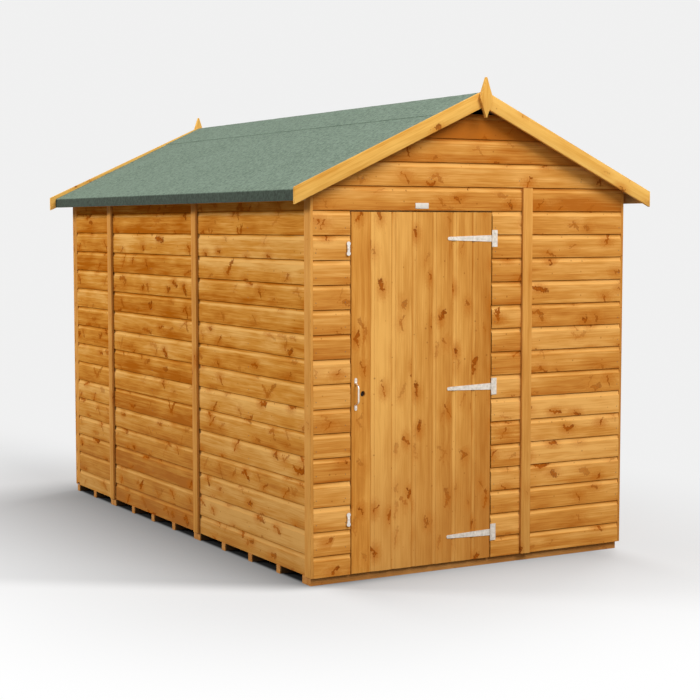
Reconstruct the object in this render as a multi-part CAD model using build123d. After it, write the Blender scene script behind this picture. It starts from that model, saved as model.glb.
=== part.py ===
from build123d import *
import math
import os

# Apex garden shed built from panel modules: board-clad walls on a light frame, a felted roof
# and one ledged door hung on three tee hinges. Millimetres, +Z up. The door gable faces -Y,
# the ridge runs along Y, and the origin is the middle of the base on the ground.

# Panel modules and wall build-up
end_wide_panel = 1168
end_narrow_panel = 582
side_front_panel = 1222
side_middle_panel = 1191
side_rear_panel = 574.5
panel_gap = 2
cladding = 12
frame_depth = 40
frame_width = 28
stud_spacing = 590
joint_gap = 0.3

# Floor
joist_width = 38
front_joist_width = 80
joist_height = 38
joist_spacing = 300
joist_end_reach = 4
deck = 12
floor_inset = 22

# Wall heights, with cladding laid in courses of one board
cladding_drop = 12
panel_head = 1815
board_pitch = 112

# Cover strips over panel joints and corners
strip_width = 55
corner_strip_width = 61
strip_thickness = 14

# Roof
roof_pitch = 25.3
wall_top_rise = 13.3
roof_board = 11
felt = 2
gable_overhang = 51
eaves_overhang = 93.5
roof_rail_width = 28
roof_rail_depth = 38
gable_vent = 86
ridge_cap_reach = 235

# Barge boards and finials. The boards lie a little flatter than the roof and stand up more at the eaves.
barge_pitch = 24.65
barge_thickness = 16
barge_height = 69
barge_rise = 7.5
barge_end_reach = 127
finial_height = 188
finial_width = 72
finial_thickness = 18
finial_tip = 4
finial_above_barge = 60
finial_below_barge = 38

# Doorway and door
latch_pier = 192
hinge_pier = 197
door_gap = 5
lock_board_width = 102.5
ledge_height = 95
ledge_thickness = 22
ledge_inset = 30
stop_width = 20
hinge_inset = 123

# Rim lock, keyhole and pull handle
lock_width = 75
lock_height = 60
lock_thickness = 18
lock_inset = 25
lock_corner = 4
keyhole_diameter = 26
keyhole_inset = 61
handle_inset = 22
handle_length = 150
handle_pad_length = 28
handle_pad_width = 13
handle_pad_thickness = 3
handle_rod = 9
handle_reach = 27
handle_rise = 16
handle_bend = 14

# Tee hinges
hinge_leaf = 2.5
hinge_plate_height = 80
hinge_plate_width = 25
strap_length = 248
strap_root_height = 31
strap_tip_height = 16
knuckle_radius = 4
knuckle_gap = 0.5
pin_radius = 2.2
pin_clearance = 0.08

# Turn buttons beside the door
button_length = 64
button_width = 20
button_waist = 13
button_thickness = 3
button_standoff = 5
button_edge_inset = 13
lower_button_inset = 256
upper_button_inset = 171
button_screw_radius = 2.5
button_screw_clearance = 0.08
button_collar_radius = 6
button_head_radius = 5.5
button_head_height = 3

# How far a cutting solid passes the faces that it cuts
overrun = 10

# Plan
wall = cladding + frame_depth
half_width = (end_wide_panel + end_narrow_panel) / 2
side_panels = [side_front_panel, side_middle_panel, side_rear_panel]
half_length = sum(side_panels) / 2 + wall
end_panels = [end_wide_panel, end_narrow_panel]
front_face = -half_length
rear_face = half_length

# Levels
deck_top = joist_height + deck
cladding_bottom = deck_top - cladding_drop
wall_top = panel_head + wall_top_rise
door_head = panel_head - board_pitch

# Roof planes, measured plumb
slope = math.tan(math.radians(roof_pitch))
plumb_share = 1 / math.cos(math.radians(roof_pitch))
barge_slope = math.tan(math.radians(barge_pitch))
barge_plumb_share = 1 / math.cos(math.radians(barge_pitch))
roof_edge = half_width + eaves_overhang
roof_reach = half_length + gable_overhang

# Doorway and door edges
doorway_left = -half_width + latch_pier
doorway_right = -half_width + end_wide_panel - hinge_pier
door_left = doorway_left + door_gap
door_right = doorway_right - door_gap
door_bottom = cladding_bottom
door_top = door_head - door_gap
door_inner_face = front_face + cladding
hinge_levels = [
    door_bottom + hinge_inset,
    (door_bottom + door_top) / 2,
    door_top - hinge_inset,
]
lock_level = hinge_levels[1]
lock_left = door_left + lock_inset
lock_right = lock_left + lock_width
hinge_x = (door_right + doorway_right) / 2
hinge_y = front_face - knuckle_radius - knuckle_gap
button_x = doorway_left - button_edge_inset
button_levels = {
    "lower": cladding_bottom + lower_button_inset,
    "upper": door_head - upper_button_inset,
}


def underside(x):
    """Height of the roof boards' underside at a distance from the ridge line."""
    return wall_top + (half_width - abs(x)) * slope


def underside_x(z):
    """Distance from the ridge line at which the roof boards' underside has a height."""
    return half_width - (z - wall_top) / slope


def board_top(x):
    """Height of the roof boards' upper face."""
    return underside(x) + roof_board * plumb_share


def felt_top(x):
    """Height of the felt's upper face."""
    return board_top(x) + felt * plumb_share


def barge_top(x):
    """Height of a barge board's upper edge."""
    return felt_top(0) + barge_rise * barge_plumb_share - abs(x) * barge_slope


def block(x_span, y_span, z_span):
    """Rectangular solid between two places on each axis."""
    spans = [sorted(span) for span in (x_span, y_span, z_span)]
    sizes = [high - low for low, high in spans]
    middles = [(low + high) / 2 for low, high in spans]
    return Pos(*middles) * Box(*sizes)


def prism(outline, y_span):
    """Solid with an outline in X and Z, drawn out along Y."""
    near, far = sorted(y_span)
    corners = [(x, near, z) for x, z in outline]
    face = make_face(Polyline(*corners, close=True))
    return extrude(face, amount=far - near, dir=(0, 1, 0))


def on_side(side, outline):
    """Outline for the right of the ridge, turned to the given side."""
    return [(side * x, z) for x, z in outline]


def panel_spans(start, widths, gap):
    """Stretches of panels set side by side, each pair a gap apart."""
    spans = []
    for number, width in enumerate(widths):
        near = start + (gap / 2 if number else 0)
        far = start + width - (gap / 2 if number < len(widths) - 1 else 0)
        spans.append((near, far))
        start += width
    return spans


def even_places(span, piece_width, spacing):
    """Starts of like pieces spread evenly over a stretch, flush with both its ends."""
    bays = max(1, round((span[1] - span[0]) / spacing))
    step = (span[1] - span[0] - piece_width) / bays
    return [span[0] + number * step for number in range(bays + 1)]


side_spans = panel_spans(-half_length + wall, side_panels, panel_gap)
end_spans = panel_spans(-half_width, end_panels, panel_gap)
side_joints = [(first[1] + second[0]) / 2 for first, second in zip(side_spans, side_spans[1:])]
end_joint = (end_spans[0][1] + end_spans[1][0]) / 2


def floor_pieces():
    """Joists across the shed and the deck sections that they carry."""
    widths = [
        side_front_panel + wall - floor_inset,
        side_middle_panel,
        side_rear_panel + wall - floor_inset,
    ]
    sections = panel_spans(-half_length + floor_inset, widths, panel_gap)
    across = (-half_width + floor_inset, half_width - floor_inset)
    joist_ends = (-half_width - joist_end_reach, half_width + joist_end_reach)
    joists = []
    decks = []
    spans = []
    for section in sections:
        decks.append(block(across, section, (joist_height, deck_top)))
        starts = even_places(section, joist_width, joist_spacing)
        spans += [(start, start + joist_width) for start in starts]
    spans[0] = (sections[0][0], sections[0][0] + front_joist_width)
    for span in spans:
        joists.append(block(joist_ends, span, (0, joist_height)))
    return {"floor_joists": joists, "floor_deck": decks}


def side_wall(side, name):
    """Cladding, frame and cover strips of one long wall."""
    outer = half_width
    inner = half_width - cladding
    room = half_width - wall
    proud = half_width + strip_thickness
    rail_bottom = wall_top - frame_width
    cladding_outline = on_side(side, [
        (inner, cladding_bottom),
        (outer, cladding_bottom),
        (outer, underside(outer)),
        (inner, underside(inner)),
    ])
    rail_outline = on_side(side, [
        (room, rail_bottom),
        (inner, rail_bottom),
        (inner, underside(inner)),
        (room, underside(room)),
    ])
    strip_outline = on_side(side, [
        (outer, cladding_bottom),
        (proud, cladding_bottom),
        (proud, underside(proud)),
        (outer, underside(outer)),
    ])
    depth = (side * inner, side * room)
    stud_z = (deck_top + frame_width + joint_gap, rail_bottom - joint_gap)
    boards = []
    frame = []
    for span in side_spans:
        boards.append(prism(cladding_outline, span))
        frame.append(block(depth, span, (deck_top, deck_top + frame_width)))
        frame.append(prism(rail_outline, span))
        for start in even_places(span, frame_width, stud_spacing):
            frame.append(block(depth, (start, start + frame_width), stud_z))
    strip_spans = [(front_face, front_face + corner_strip_width)]
    for joint in side_joints:
        strip_spans.append((joint - strip_width / 2, joint + strip_width / 2))
    strips = [prism(strip_outline, span) for span in strip_spans]
    return {
        name + "_cladding": boards,
        name + "_framing": frame,
        name + "_cover_strips": strips,
    }


def gable_outline():
    """Outline of a gable's cladding, flat at the top to leave a vent under the ridge."""
    vent_level = underside(0) - gable_vent
    vent_x = underside_x(vent_level)
    return [
        (-half_width, panel_head),
        (half_width, panel_head),
        (half_width, wall_top),
        (vent_x, vent_level),
        (-vent_x, vent_level),
        (-half_width, wall_top),
    ]


def gable_frame(depth):
    """Bottom rail, two rafters and the middle post behind a gable's cladding."""
    rail_top = panel_head + frame_width
    rail_x = underside_x(rail_top)
    foot = rail_top + joint_gap
    rafter_drop = frame_width * plumb_share
    head_x = roof_rail_width + joint_gap
    rail = prism([
        (-half_width, panel_head),
        (half_width, panel_head),
        (half_width, wall_top),
        (rail_x, rail_top),
        (-rail_x, rail_top),
        (-half_width, wall_top),
    ], depth)
    rafter = [
        (underside_x(foot), foot),
        (underside_x(foot + rafter_drop), foot),
        (head_x, underside(head_x) - rafter_drop),
        (head_x, underside(head_x)),
    ]
    rafters = [prism(on_side(side, rafter), depth) for side in (-1, 1)]
    post = block(
        (-frame_width / 2, frame_width / 2),
        depth,
        (foot, underside(0) - gable_vent),
    )
    return [rail, *rafters, post]


def end_frame(depth, bottom_spans, stud_starts):
    """Bottom rails, top rails and studs of an end wall."""
    frame = []
    rail_bottom = panel_head - frame_width
    stud_z = (deck_top + frame_width + joint_gap, rail_bottom - joint_gap)
    for span in bottom_spans:
        frame.append(block(span, depth, (deck_top, deck_top + frame_width)))
    for span in end_spans:
        frame.append(block(span, depth, (rail_bottom, panel_head)))
    for start in stud_starts:
        frame.append(block((start, start + frame_width), depth, stud_z))
    return frame


def front_wall():
    """Door gable: cladding split round the doorway, frame, strip and door stops."""
    skin = (front_face, door_inner_face)
    depth = (door_inner_face, front_face + wall)
    wide, narrow = end_spans
    full_z = (cladding_bottom, panel_head)
    beside_z = (cladding_bottom, door_head)
    stud_starts = [
        wide[0],
        doorway_left - frame_width,
        doorway_right,
        wide[1] - frame_width,
        *even_places(narrow, frame_width, stud_spacing),
    ]
    bottom_spans = [(wide[0], doorway_left), (doorway_right, wide[1]), narrow]
    frame = end_frame(depth, bottom_spans, stud_starts)
    header_x = (doorway_left + joint_gap, doorway_right - joint_gap)
    frame.append(block(header_x, depth, (door_head, door_head + frame_width)))
    stop_depth = (door_inner_face + door_gap, front_face + wall)
    stop_edge = doorway_left + stop_width
    stops = [
        block((doorway_left, stop_edge), stop_depth, (deck_top, door_head)),
        block((stop_edge + joint_gap, doorway_right), stop_depth, (door_head - stop_width, door_head)),
    ]
    strip_x = (end_joint - strip_width / 2, end_joint + strip_width / 2)
    return {
        "front_cladding_latch_side": [block((wide[0], doorway_left), skin, beside_z)],
        "front_cladding_hinge_side": [block((doorway_right, wide[1]), skin, beside_z)],
        "front_cladding_over_door": [block(wide, skin, (door_head, panel_head))],
        "front_cladding_narrow": [block(narrow, skin, full_z)],
        "front_gable": [prism(gable_outline(), skin)],
        "front_framing": frame,
        "front_gable_framing": gable_frame(depth),
        "front_cover_strip": [block(strip_x, (front_face - strip_thickness, front_face), full_z)],
        "door_stops": stops,
    }


def corner_strip_outline():
    """Outline of the strip at a corner of the rear wall, cut to the roof's slope."""
    inner = half_width - corner_strip_width
    return [
        (inner, cladding_bottom),
        (half_width, cladding_bottom),
        (half_width, underside(half_width)),
        (inner, underside(inner)),
    ]


def rear_wall():
    """Plain rear gable: two panels, frame, the strip over their joint and one at each corner."""
    skin = (rear_face - cladding, rear_face)
    depth = (rear_face - wall, rear_face - cladding)
    full_z = (cladding_bottom, panel_head)
    stud_starts = []
    for span in end_spans:
        stud_starts += even_places(span, frame_width, stud_spacing)
    strip_y = (rear_face, rear_face + strip_thickness)
    strip_x = (end_joint - strip_width / 2, end_joint + strip_width / 2)
    strips = [block(strip_x, strip_y, full_z)]
    for side in (-1, 1):
        strips.append(prism(on_side(side, corner_strip_outline()), strip_y))
    return {
        "rear_cladding": [block(span, skin, full_z) for span in end_spans],
        "rear_gable": [prism(gable_outline(), skin)],
        "rear_framing": end_frame(depth, end_spans, stud_starts),
        "rear_gable_framing": gable_frame(depth),
        "rear_cover_strip": strips,
    }


def roof_rail(side, near_x, far_x, depth, y_span):
    """Rail under the roof boards, with plumb sides and a level bottom."""
    bottom = underside(far_x) - depth
    outline = [
        (near_x, bottom),
        (far_x, bottom),
        (far_x, underside(far_x)),
        (near_x, underside(near_x)),
    ]
    return prism(on_side(side, outline), y_span)


def roof_slope(side, name):
    """Boards, rails and felt of one side of the roof."""
    full = (-roof_reach, roof_reach)
    inside = (-half_length + wall, half_length - wall)
    purlin_x = half_width / 2
    boards = prism(on_side(side, [
        (0, underside(0)),
        (roof_edge, underside(roof_edge)),
        (roof_edge, board_top(roof_edge)),
        (0, board_top(0)),
    ]), full)
    rails = [
        roof_rail(side, 0, roof_rail_width, roof_rail_depth, full),
        roof_rail(side, purlin_x - roof_rail_width / 2, purlin_x + roof_rail_width / 2,
                  roof_rail_depth, inside),
        roof_rail(side, roof_edge - roof_rail_width, roof_edge, roof_rail_depth, full),
    ]
    fold_x = roof_edge + felt
    fold_bottom = underside(roof_edge) - roof_rail_depth
    sheet = prism(on_side(side, [
        (0, board_top(0)),
        (roof_edge, board_top(roof_edge)),
        (roof_edge, fold_bottom),
        (fold_x, fold_bottom),
        (fold_x, felt_top(fold_x)),
        (0, felt_top(0)),
    ]), full)
    return {
        name + "_roof_boards": [boards],
        name + "_roof_rails": rails,
        name + "_felt": [sheet],
    }


def ridge_felt():
    """Cap of felt folded over the ridge and lapped on both slopes."""
    lap = ridge_cap_reach
    cap = felt * plumb_share
    outline = [
        (-lap, felt_top(lap)),
        (0, felt_top(0)),
        (lap, felt_top(lap)),
        (lap, felt_top(lap) + cap),
        (0, felt_top(0) + cap),
        (-lap, felt_top(lap) + cap),
    ]
    return {"ridge_felt": [prism(outline, (-roof_reach, roof_reach))]}


def gable_trim(end, name):
    """Pair of barge boards and the finial over their mitre at one gable."""
    inner = end * roof_reach
    face = end * (roof_reach + barge_thickness)
    tip_face = end * (roof_reach + barge_thickness + finial_thickness)
    drop = barge_height * barge_plumb_share
    end_x = half_width + barge_end_reach
    board = [
        (0, barge_top(0) - drop),
        (end_x, barge_top(end_x) - drop),
        (end_x, barge_top(end_x)),
        (0, barge_top(0)),
    ]
    tip_top = barge_top(0) + finial_above_barge
    tip_bottom = tip_top - finial_height
    widest = barge_top(0) - finial_below_barge
    kite = [
        (finial_tip / 2, tip_top),
        (finial_width / 2, widest),
        (finial_tip / 2, tip_bottom),
        (-finial_tip / 2, tip_bottom),
        (-finial_width / 2, widest),
        (-finial_tip / 2, tip_top),
    ]
    return {
        name + "_barge_left": [prism(on_side(-1, board), (inner, face))],
        name + "_barge_right": [prism(on_side(1, board), (inner, face))],
        name + "_finial": [prism(kite, (face, tip_face))],
    }


def door_leaf():
    """Boards, ledges and rim lock of the door."""
    skin = (front_face, door_inner_face)
    leaf_z = (door_bottom, door_top)
    lock_board_edge = door_left + lock_board_width
    keyhole = Pos(door_left + keyhole_inset, front_face + cladding / 2, lock_level) * (
        Rot(90, 0, 0) * Cylinder(keyhole_diameter / 2, cladding + 2 * overrun)
    )
    lock_board = block((door_left, lock_board_edge), skin, leaf_z) - keyhole
    ledge_y = (door_inner_face, door_inner_face + ledge_thickness)
    ledges = []
    for level in hinge_levels:
        left = door_left + ledge_inset
        if level == lock_level:
            left = lock_right + ledge_inset
        ledge_z = (level - ledge_height / 2, level + ledge_height / 2)
        ledges.append(block((left, door_right - ledge_inset), ledge_y, ledge_z))
    case = block(
        (lock_left, lock_right),
        (door_inner_face, door_inner_face + lock_thickness),
        (lock_level - lock_height / 2, lock_level + lock_height / 2),
    )
    case = fillet(case.edges().filter_by(Axis.Y), lock_corner)
    return {
        "door_lock_board": [lock_board],
        "door_boards": [block((lock_board_edge, door_right), skin, leaf_z)],
        "door_ledges": ledges,
        "rim_lock": [case],
    }


def door_handle():
    """Bow handle: a round rod bent out from two pads flat on the door."""
    x = door_left + handle_inset
    half = handle_length / 2
    shoulder = half - handle_pad_length + handle_rod / 2
    pad_middle = half - handle_pad_length / 2
    path = FilletPolyline(
        (x, front_face, lock_level + shoulder),
        (x, front_face - handle_reach, lock_level + shoulder - handle_rise),
        (x, front_face - handle_reach, lock_level - shoulder + handle_rise),
        (x, front_face, lock_level - shoulder),
        radius=handle_bend,
    )
    section = Plane(origin=path @ 0, z_dir=path % 0) * Circle(handle_rod / 2)
    rod = sweep(section, path=path)
    behind = block(
        (x - handle_length, x + handle_length),
        (front_face, front_face + handle_length),
        (lock_level - handle_length, lock_level + handle_length),
    )
    handle = rod - behind
    for end in (-1, 1):
        outline = Pos(x, lock_level + end * pad_middle) * SlotOverall(
            handle_pad_length, handle_pad_width, rotation=90
        )
        handle += extrude(Plane.XZ.offset(-front_face) * outline, amount=handle_pad_thickness)
    return {"door_handle": [handle]}


def hinge_barrel(low, high):
    """Outside of a knuckle on the hinge line, between two levels."""
    return Pos(hinge_x, hinge_y, (low + high) / 2) * Cylinder(knuckle_radius, high - low)


def tee_hinges():
    """Plates with their pins on the wall, and the long straps on the door."""
    leaf_y = (front_face - hinge_leaf, front_face)
    reach = knuckle_radius + knuckle_gap
    plate_near = hinge_x + reach
    strap_near = hinge_x - reach
    middle_half = strap_root_height / 2
    plates = []
    straps = []
    for level in hinge_levels:
        top = level + hinge_plate_height / 2
        bottom = level - hinge_plate_height / 2
        plate = block((plate_near, plate_near + hinge_plate_width), leaf_y, (bottom, top))
        ends = [
            (bottom, level - middle_half - knuckle_gap),
            (level + middle_half + knuckle_gap, top),
        ]
        for low, high in ends:
            plate += block((hinge_x, plate_near), leaf_y, (low, high))
            plate += hinge_barrel(low, high)
        plate += Pos(hinge_x, hinge_y, level) * Cylinder(pin_radius, hinge_plate_height)
        plates.append(plate)

        tip_round = strap_tip_height / 2
        tip_x = strap_near - strap_length
        taper_x = tip_x + tip_round
        edge = Polyline(
            (taper_x, level - tip_round),
            (strap_near, level - middle_half),
            (strap_near, level + middle_half),
            (taper_x, level + tip_round),
        )
        tip = ThreePointArc(
            (taper_x, level + tip_round), (tip_x, level), (taper_x, level - tip_round)
        )
        outline = Plane.XZ.offset(-front_face) * make_face([edge, tip])
        strap = extrude(outline, amount=hinge_leaf)
        strap += block(
            (strap_near, hinge_x), leaf_y, (level - middle_half, level + middle_half)
        )
        strap += hinge_barrel(level - middle_half, level + middle_half)
        strap -= Pos(hinge_x, hinge_y, level) * Cylinder(
            pin_radius + pin_clearance, strap_root_height + 2 * overrun
        )
        straps.append(strap)
    return {"hinge_plates": plates, "hinge_straps": straps}


def turn_buttons():
    """Turn buttons, each on a collar and a round-headed screw fixed to the wall."""
    nodes = {}
    screws = []
    back = -front_face + button_standoff
    collar_height = button_standoff - joint_gap
    neck = button_standoff + button_thickness + joint_gap
    lobe = button_width / 2
    for name, level in button_levels.items():
        places = [Pos(button_x, level + end * (button_length / 2 - lobe)) for end in (-1, 1)]
        outline = Pos(button_x, level) * Rectangle(button_waist, button_length - button_width)
        for place in places:
            outline += place * Circle(lobe)
        outline -= Pos(button_x, level) * Circle(button_screw_radius + button_screw_clearance)
        button = extrude(Plane.XZ.offset(back) * outline, amount=button_thickness)
        nodes["turn_button_" + name] = [button]
        centre = Plane.XZ.offset(-front_face) * Pos(button_x, level)
        collar = centre * extrude(Circle(button_collar_radius), amount=collar_height)
        shank = centre * extrude(Circle(button_screw_radius), amount=neck + button_head_height)
        head = centre * Pos(0, 0, neck) * extrude(Circle(button_head_radius), amount=button_head_height)
        screws.append(collar + shank + head)
    nodes["turn_button_screws"] = screws
    return nodes


shed = {
    **floor_pieces(),
    **front_wall(),
    **rear_wall(),
    **side_wall(-1, "left"),
    **side_wall(1, "right"),
    **roof_slope(-1, "left"),
    **roof_slope(1, "right"),
    **ridge_felt(),
    **gable_trim(-1, "front"),
    **gable_trim(1, "rear"),
    **door_leaf(),
    **door_handle(),
    **tee_hinges(),
    **turn_buttons(),
}

os.makedirs("parts", exist_ok=True)
for node, pieces in shed.items():
    solids = [solid for piece in pieces for solid in piece.solids()]
    export_step(Compound(solids), "parts/" + node + ".step")
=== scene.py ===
"""Apex shed: boards, felt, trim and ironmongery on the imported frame.

Metres, +Z up. The door gable faces -Y and the ridge runs along Y.
"""

import logging
import math
from contextlib import contextmanager
from dataclasses import dataclass, replace
from enum import Enum
from typing import Callable, Iterator, Sequence

import bmesh
import bpy
import numpy as np
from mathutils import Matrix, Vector

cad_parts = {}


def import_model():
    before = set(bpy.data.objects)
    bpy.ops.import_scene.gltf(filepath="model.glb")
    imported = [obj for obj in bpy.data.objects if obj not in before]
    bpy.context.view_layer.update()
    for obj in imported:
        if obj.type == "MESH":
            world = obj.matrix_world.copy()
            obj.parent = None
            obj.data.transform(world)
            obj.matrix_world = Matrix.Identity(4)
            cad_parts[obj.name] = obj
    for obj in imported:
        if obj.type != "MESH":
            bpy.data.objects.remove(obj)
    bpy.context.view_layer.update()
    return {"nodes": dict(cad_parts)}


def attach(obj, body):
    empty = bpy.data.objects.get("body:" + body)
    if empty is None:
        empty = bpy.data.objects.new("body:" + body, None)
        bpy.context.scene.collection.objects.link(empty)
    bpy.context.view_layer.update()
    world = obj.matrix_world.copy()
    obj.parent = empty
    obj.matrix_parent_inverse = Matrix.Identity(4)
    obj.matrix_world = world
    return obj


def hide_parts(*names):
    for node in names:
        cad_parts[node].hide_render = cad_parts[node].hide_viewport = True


log = logging.getLogger("apex_shed")

Piece = bpy.types.Object
Socket = bpy.types.NodeSocket
Colour = tuple[float, float, float]
Place = tuple[float, float, float]
Test = Callable[[Vector, Vector], bool]

NEAR = 1e-5


class Body(Enum):
    """The moving bodies of the frame that pieces ride on."""

    SHED = "shed"
    DOOR = "door"
    UPPER_BUTTON = "upper_turn_button"
    LOWER_BUTTON = "lower_turn_button"


class Facing(Enum):
    """The way a wall looks, as the turn about Z that brings a front board to it, in degrees."""

    FRONT = 0.0
    RIGHT = 90.0
    REAR = 180.0
    LEFT = -90.0


class Part(Enum):
    """What a selection picks in edit mode."""

    CORNERS = "VERT"
    EDGES = "EDGE"
    FACES = "FACE"


class GrainRun(Enum):
    """Where a timber finish reads its grain: marked on the mesh, or along an axis of the shed."""

    MARKED = "marked"
    ALONG_X = "x"
    ALONG_Y = "y"
    UPRIGHT = "z"


class Bench:
    """Hand tools that the sub-assemblies share. Each is one step of modelling on one piece."""

    @staticmethod
    def clear() -> None:
        """Leaves nothing selected."""
        bpy.ops.object.select_all(action="DESELECT")

    @staticmethod
    def take(piece: Piece) -> None:
        """Selects one piece alone and makes it the active one.

        Args:
            piece: The piece to work on.
        """
        Bench.clear()
        piece.select_set(True)
        bpy.context.view_layer.objects.active = piece

    @staticmethod
    def named(name: str) -> Piece:
        """Names the active piece and its mesh.

        Args:
            name: The name for both.

        Returns:
            The piece.
        """
        piece = bpy.context.object
        piece.name = name
        piece.data.name = name
        return piece

    @staticmethod
    def settle(piece: Piece) -> None:
        """Puts a piece's place, turn and scale into its mesh."""
        Bench.take(piece)
        bpy.ops.object.transform_apply(location=True, rotation=True, scale=True)

    @staticmethod
    def block(name: str, low: Sequence[float], high: Sequence[float]) -> Piece:
        """Saws a rectangular blank between two corners.

        Args:
            name: The blank's name.
            low: Its lowest corner.
            high: Its highest corner.

        Returns:
            The blank, with its place in its mesh.
        """
        near, far = Vector(low), Vector(high)
        Bench.clear()
        bpy.ops.mesh.primitive_cube_add(size=1, location=(near + far) / 2)
        piece = Bench.named(name)
        piece.scale = far - near
        Bench.settle(piece)
        return piece

    @staticmethod
    def rod(name: str, radius: float, foot: Sequence[float], length: float, sides: int) -> Piece:
        """Turns a round blank that stands out from a wall towards -Y.

        Args:
            name: The blank's name.
            radius: Its radius.
            foot: The middle of the end on the wall.
            length: How far it stands out.
            sides: The number of its flats.

        Returns:
            The blank, with its place in its mesh.
        """
        x, y, z = foot
        Bench.clear()
        bpy.ops.mesh.primitive_cylinder_add(
            vertices=sides, radius=radius, depth=length,
            location=(x, y - length / 2, z), rotation=(math.pi / 2, 0, 0),
        )
        piece = Bench.named(name)
        Bench.settle(piece)
        return piece

    @staticmethod
    @contextmanager
    def editing(piece: Piece) -> Iterator[None]:
        """Opens a piece in edit mode with nothing selected.

        Args:
            piece: The piece to edit.
        """
        Bench.take(piece)
        bpy.ops.object.mode_set(mode="EDIT")
        bpy.ops.mesh.select_all(action="DESELECT")
        yield
        bpy.ops.object.mode_set(mode="OBJECT")

    @staticmethod
    def pick(piece: Piece, part: Part, test: Test) -> None:
        """Selects corners, edges or faces of a piece in edit mode by their place and direction.

        Args:
            piece: The piece in edit mode.
            part: What to pick.
            test: Says whether a middle point and a direction belong to the selection. The
                direction is a face's or corner's normal, or an edge's line.
        """
        bpy.ops.mesh.select_mode(type=part.value)
        mesh = bmesh.from_edit_mesh(piece.data)
        for group in (mesh.verts, mesh.edges, mesh.faces):
            for item in group:
                item.select = False
        if part is Part.FACES:
            for face in mesh.faces:
                face.select_set(test(face.calc_center_median(), face.normal))
        elif part is Part.EDGES:
            for edge in mesh.edges:
                first, second = (corner.co for corner in edge.verts)
                edge.select_set(test((first + second) / 2, (second - first).normalized()))
        else:
            for corner in mesh.verts:
                corner.select_set(test(corner.co, corner.normal))
        mesh.select_flush_mode()
        bmesh.update_edit_mesh(piece.data)

    @staticmethod
    def extrude(piece: Piece, test: Test, move: Sequence[float]) -> None:
        """Draws picked faces out of a piece.

        Args:
            piece: The piece to shape.
            test: Picks the faces.
            move: How far and which way they go.
        """
        with Bench.editing(piece):
            Bench.pick(piece, Part.FACES, test)
            bpy.ops.mesh.extrude_region_move(TRANSFORM_OT_translate={"value": tuple(move)})

    @staticmethod
    def ease(piece: Piece, test: Test, size: float, steps: int = 1, profile: float = 0.5) -> None:
        """Planes picked edges round, flat or hollow.

        Args:
            piece: The piece to shape.
            test: Picks the edges.
            size: How far from the edge the plane cuts.
            steps: The number of faces across the cut.
            profile: The form of the cut: 0.5 is round, less than 0.25 is hollow.
        """
        with Bench.editing(piece):
            Bench.pick(piece, Part.EDGES, test)
            bpy.ops.mesh.bevel(
                offset=size, segments=steps, profile=profile, affect="EDGES", clamp_overlap=True
            )

    @staticmethod
    def trim(piece: Piece, point: Sequence[float], normal: Sequence[float]) -> None:
        """Saws off what lies beyond a plane and closes the cut.

        Args:
            piece: The piece to saw.
            point: A point of the plane.
            normal: The plane's normal, which points at the waste.
        """
        with Bench.editing(piece):
            bpy.ops.mesh.select_all(action="SELECT")
            bpy.ops.mesh.bisect(plane_co=point, plane_no=normal, use_fill=True, clear_outer=True)

    @staticmethod
    def score(piece: Piece, point: Sequence[float], normal: Sequence[float]) -> None:
        """Cuts a piece's faces along a plane and leaves both sides.

        Args:
            piece: The piece to cut.
            point: A point of the plane.
            normal: The plane's normal.
        """
        with Bench.editing(piece):
            bpy.ops.mesh.select_all(action="SELECT")
            bpy.ops.mesh.bisect(plane_co=point, plane_no=normal)

    @staticmethod
    def narrow(piece: Piece, test: Test, share: Sequence[float], centre: Sequence[float]) -> None:
        """Draws picked corners in towards a point.

        Args:
            piece: The piece to shape.
            test: Picks the corners.
            share: What is left of their distance on each axis.
            centre: The point that they go to.
        """
        with Bench.editing(piece):
            Bench.pick(piece, Part.CORNERS, test)
            bpy.ops.transform.resize(value=tuple(share), center_override=tuple(centre))

    @staticmethod
    def repeat(piece: Piece, count: int, step: Sequence[float]) -> None:
        """Sets copies of a piece in a row, all in one mesh.

        Args:
            piece: The piece to repeat.
            count: The number of copies with the first.
            step: The way from one to the next.
        """
        row = piece.modifiers.new("row", "ARRAY")
        row.use_relative_offset = False
        row.use_constant_offset = True
        row.constant_offset_displace = step
        row.count = count
        Bench.apply(piece, row.name)

    @staticmethod
    def soften(piece: Piece, size: float, steps: int = 2) -> None:
        """Takes the sharpness off all the arrises of a piece.

        Args:
            piece: The piece to soften.
            size: How far from an arris the rounding starts.
            steps: The number of faces across it.
        """
        plane = piece.modifiers.new("arris", "BEVEL")
        plane.width = size
        plane.segments = steps
        plane.limit_method = "ANGLE"
        plane.angle_limit = math.radians(30)
        Bench.apply(piece, plane.name)

    @staticmethod
    def apply(piece: Piece, modifier: str) -> None:
        """Makes the modifier of that name part of the piece's mesh."""
        Bench.take(piece)
        bpy.ops.object.modifier_apply(modifier=modifier)

    @staticmethod
    def drill(piece: Piece, bit: Piece) -> None:
        """Cuts one piece out of another and throws the cutter away.

        Args:
            piece: The piece to cut.
            bit: The cutter.
        """
        hole = piece.modifiers.new("hole", "BOOLEAN")
        hole.operation = "DIFFERENCE"
        hole.solver = "EXACT"
        hole.object = bit
        Bench.apply(piece, hole.name)
        bpy.data.objects.remove(bit)

    @staticmethod
    def copy(piece: Piece, name: str, move: Sequence[float]) -> Piece:
        """Copies a piece with a mesh of its own to another place.

        Args:
            piece: The piece to copy.
            name: The copy's name.
            move: The way from the piece to its copy.

        Returns:
            The copy.
        """
        Bench.take(piece)
        bpy.ops.object.duplicate(linked=False)
        made = Bench.named(name)
        made.location = move
        Bench.settle(made)
        return made

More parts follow.
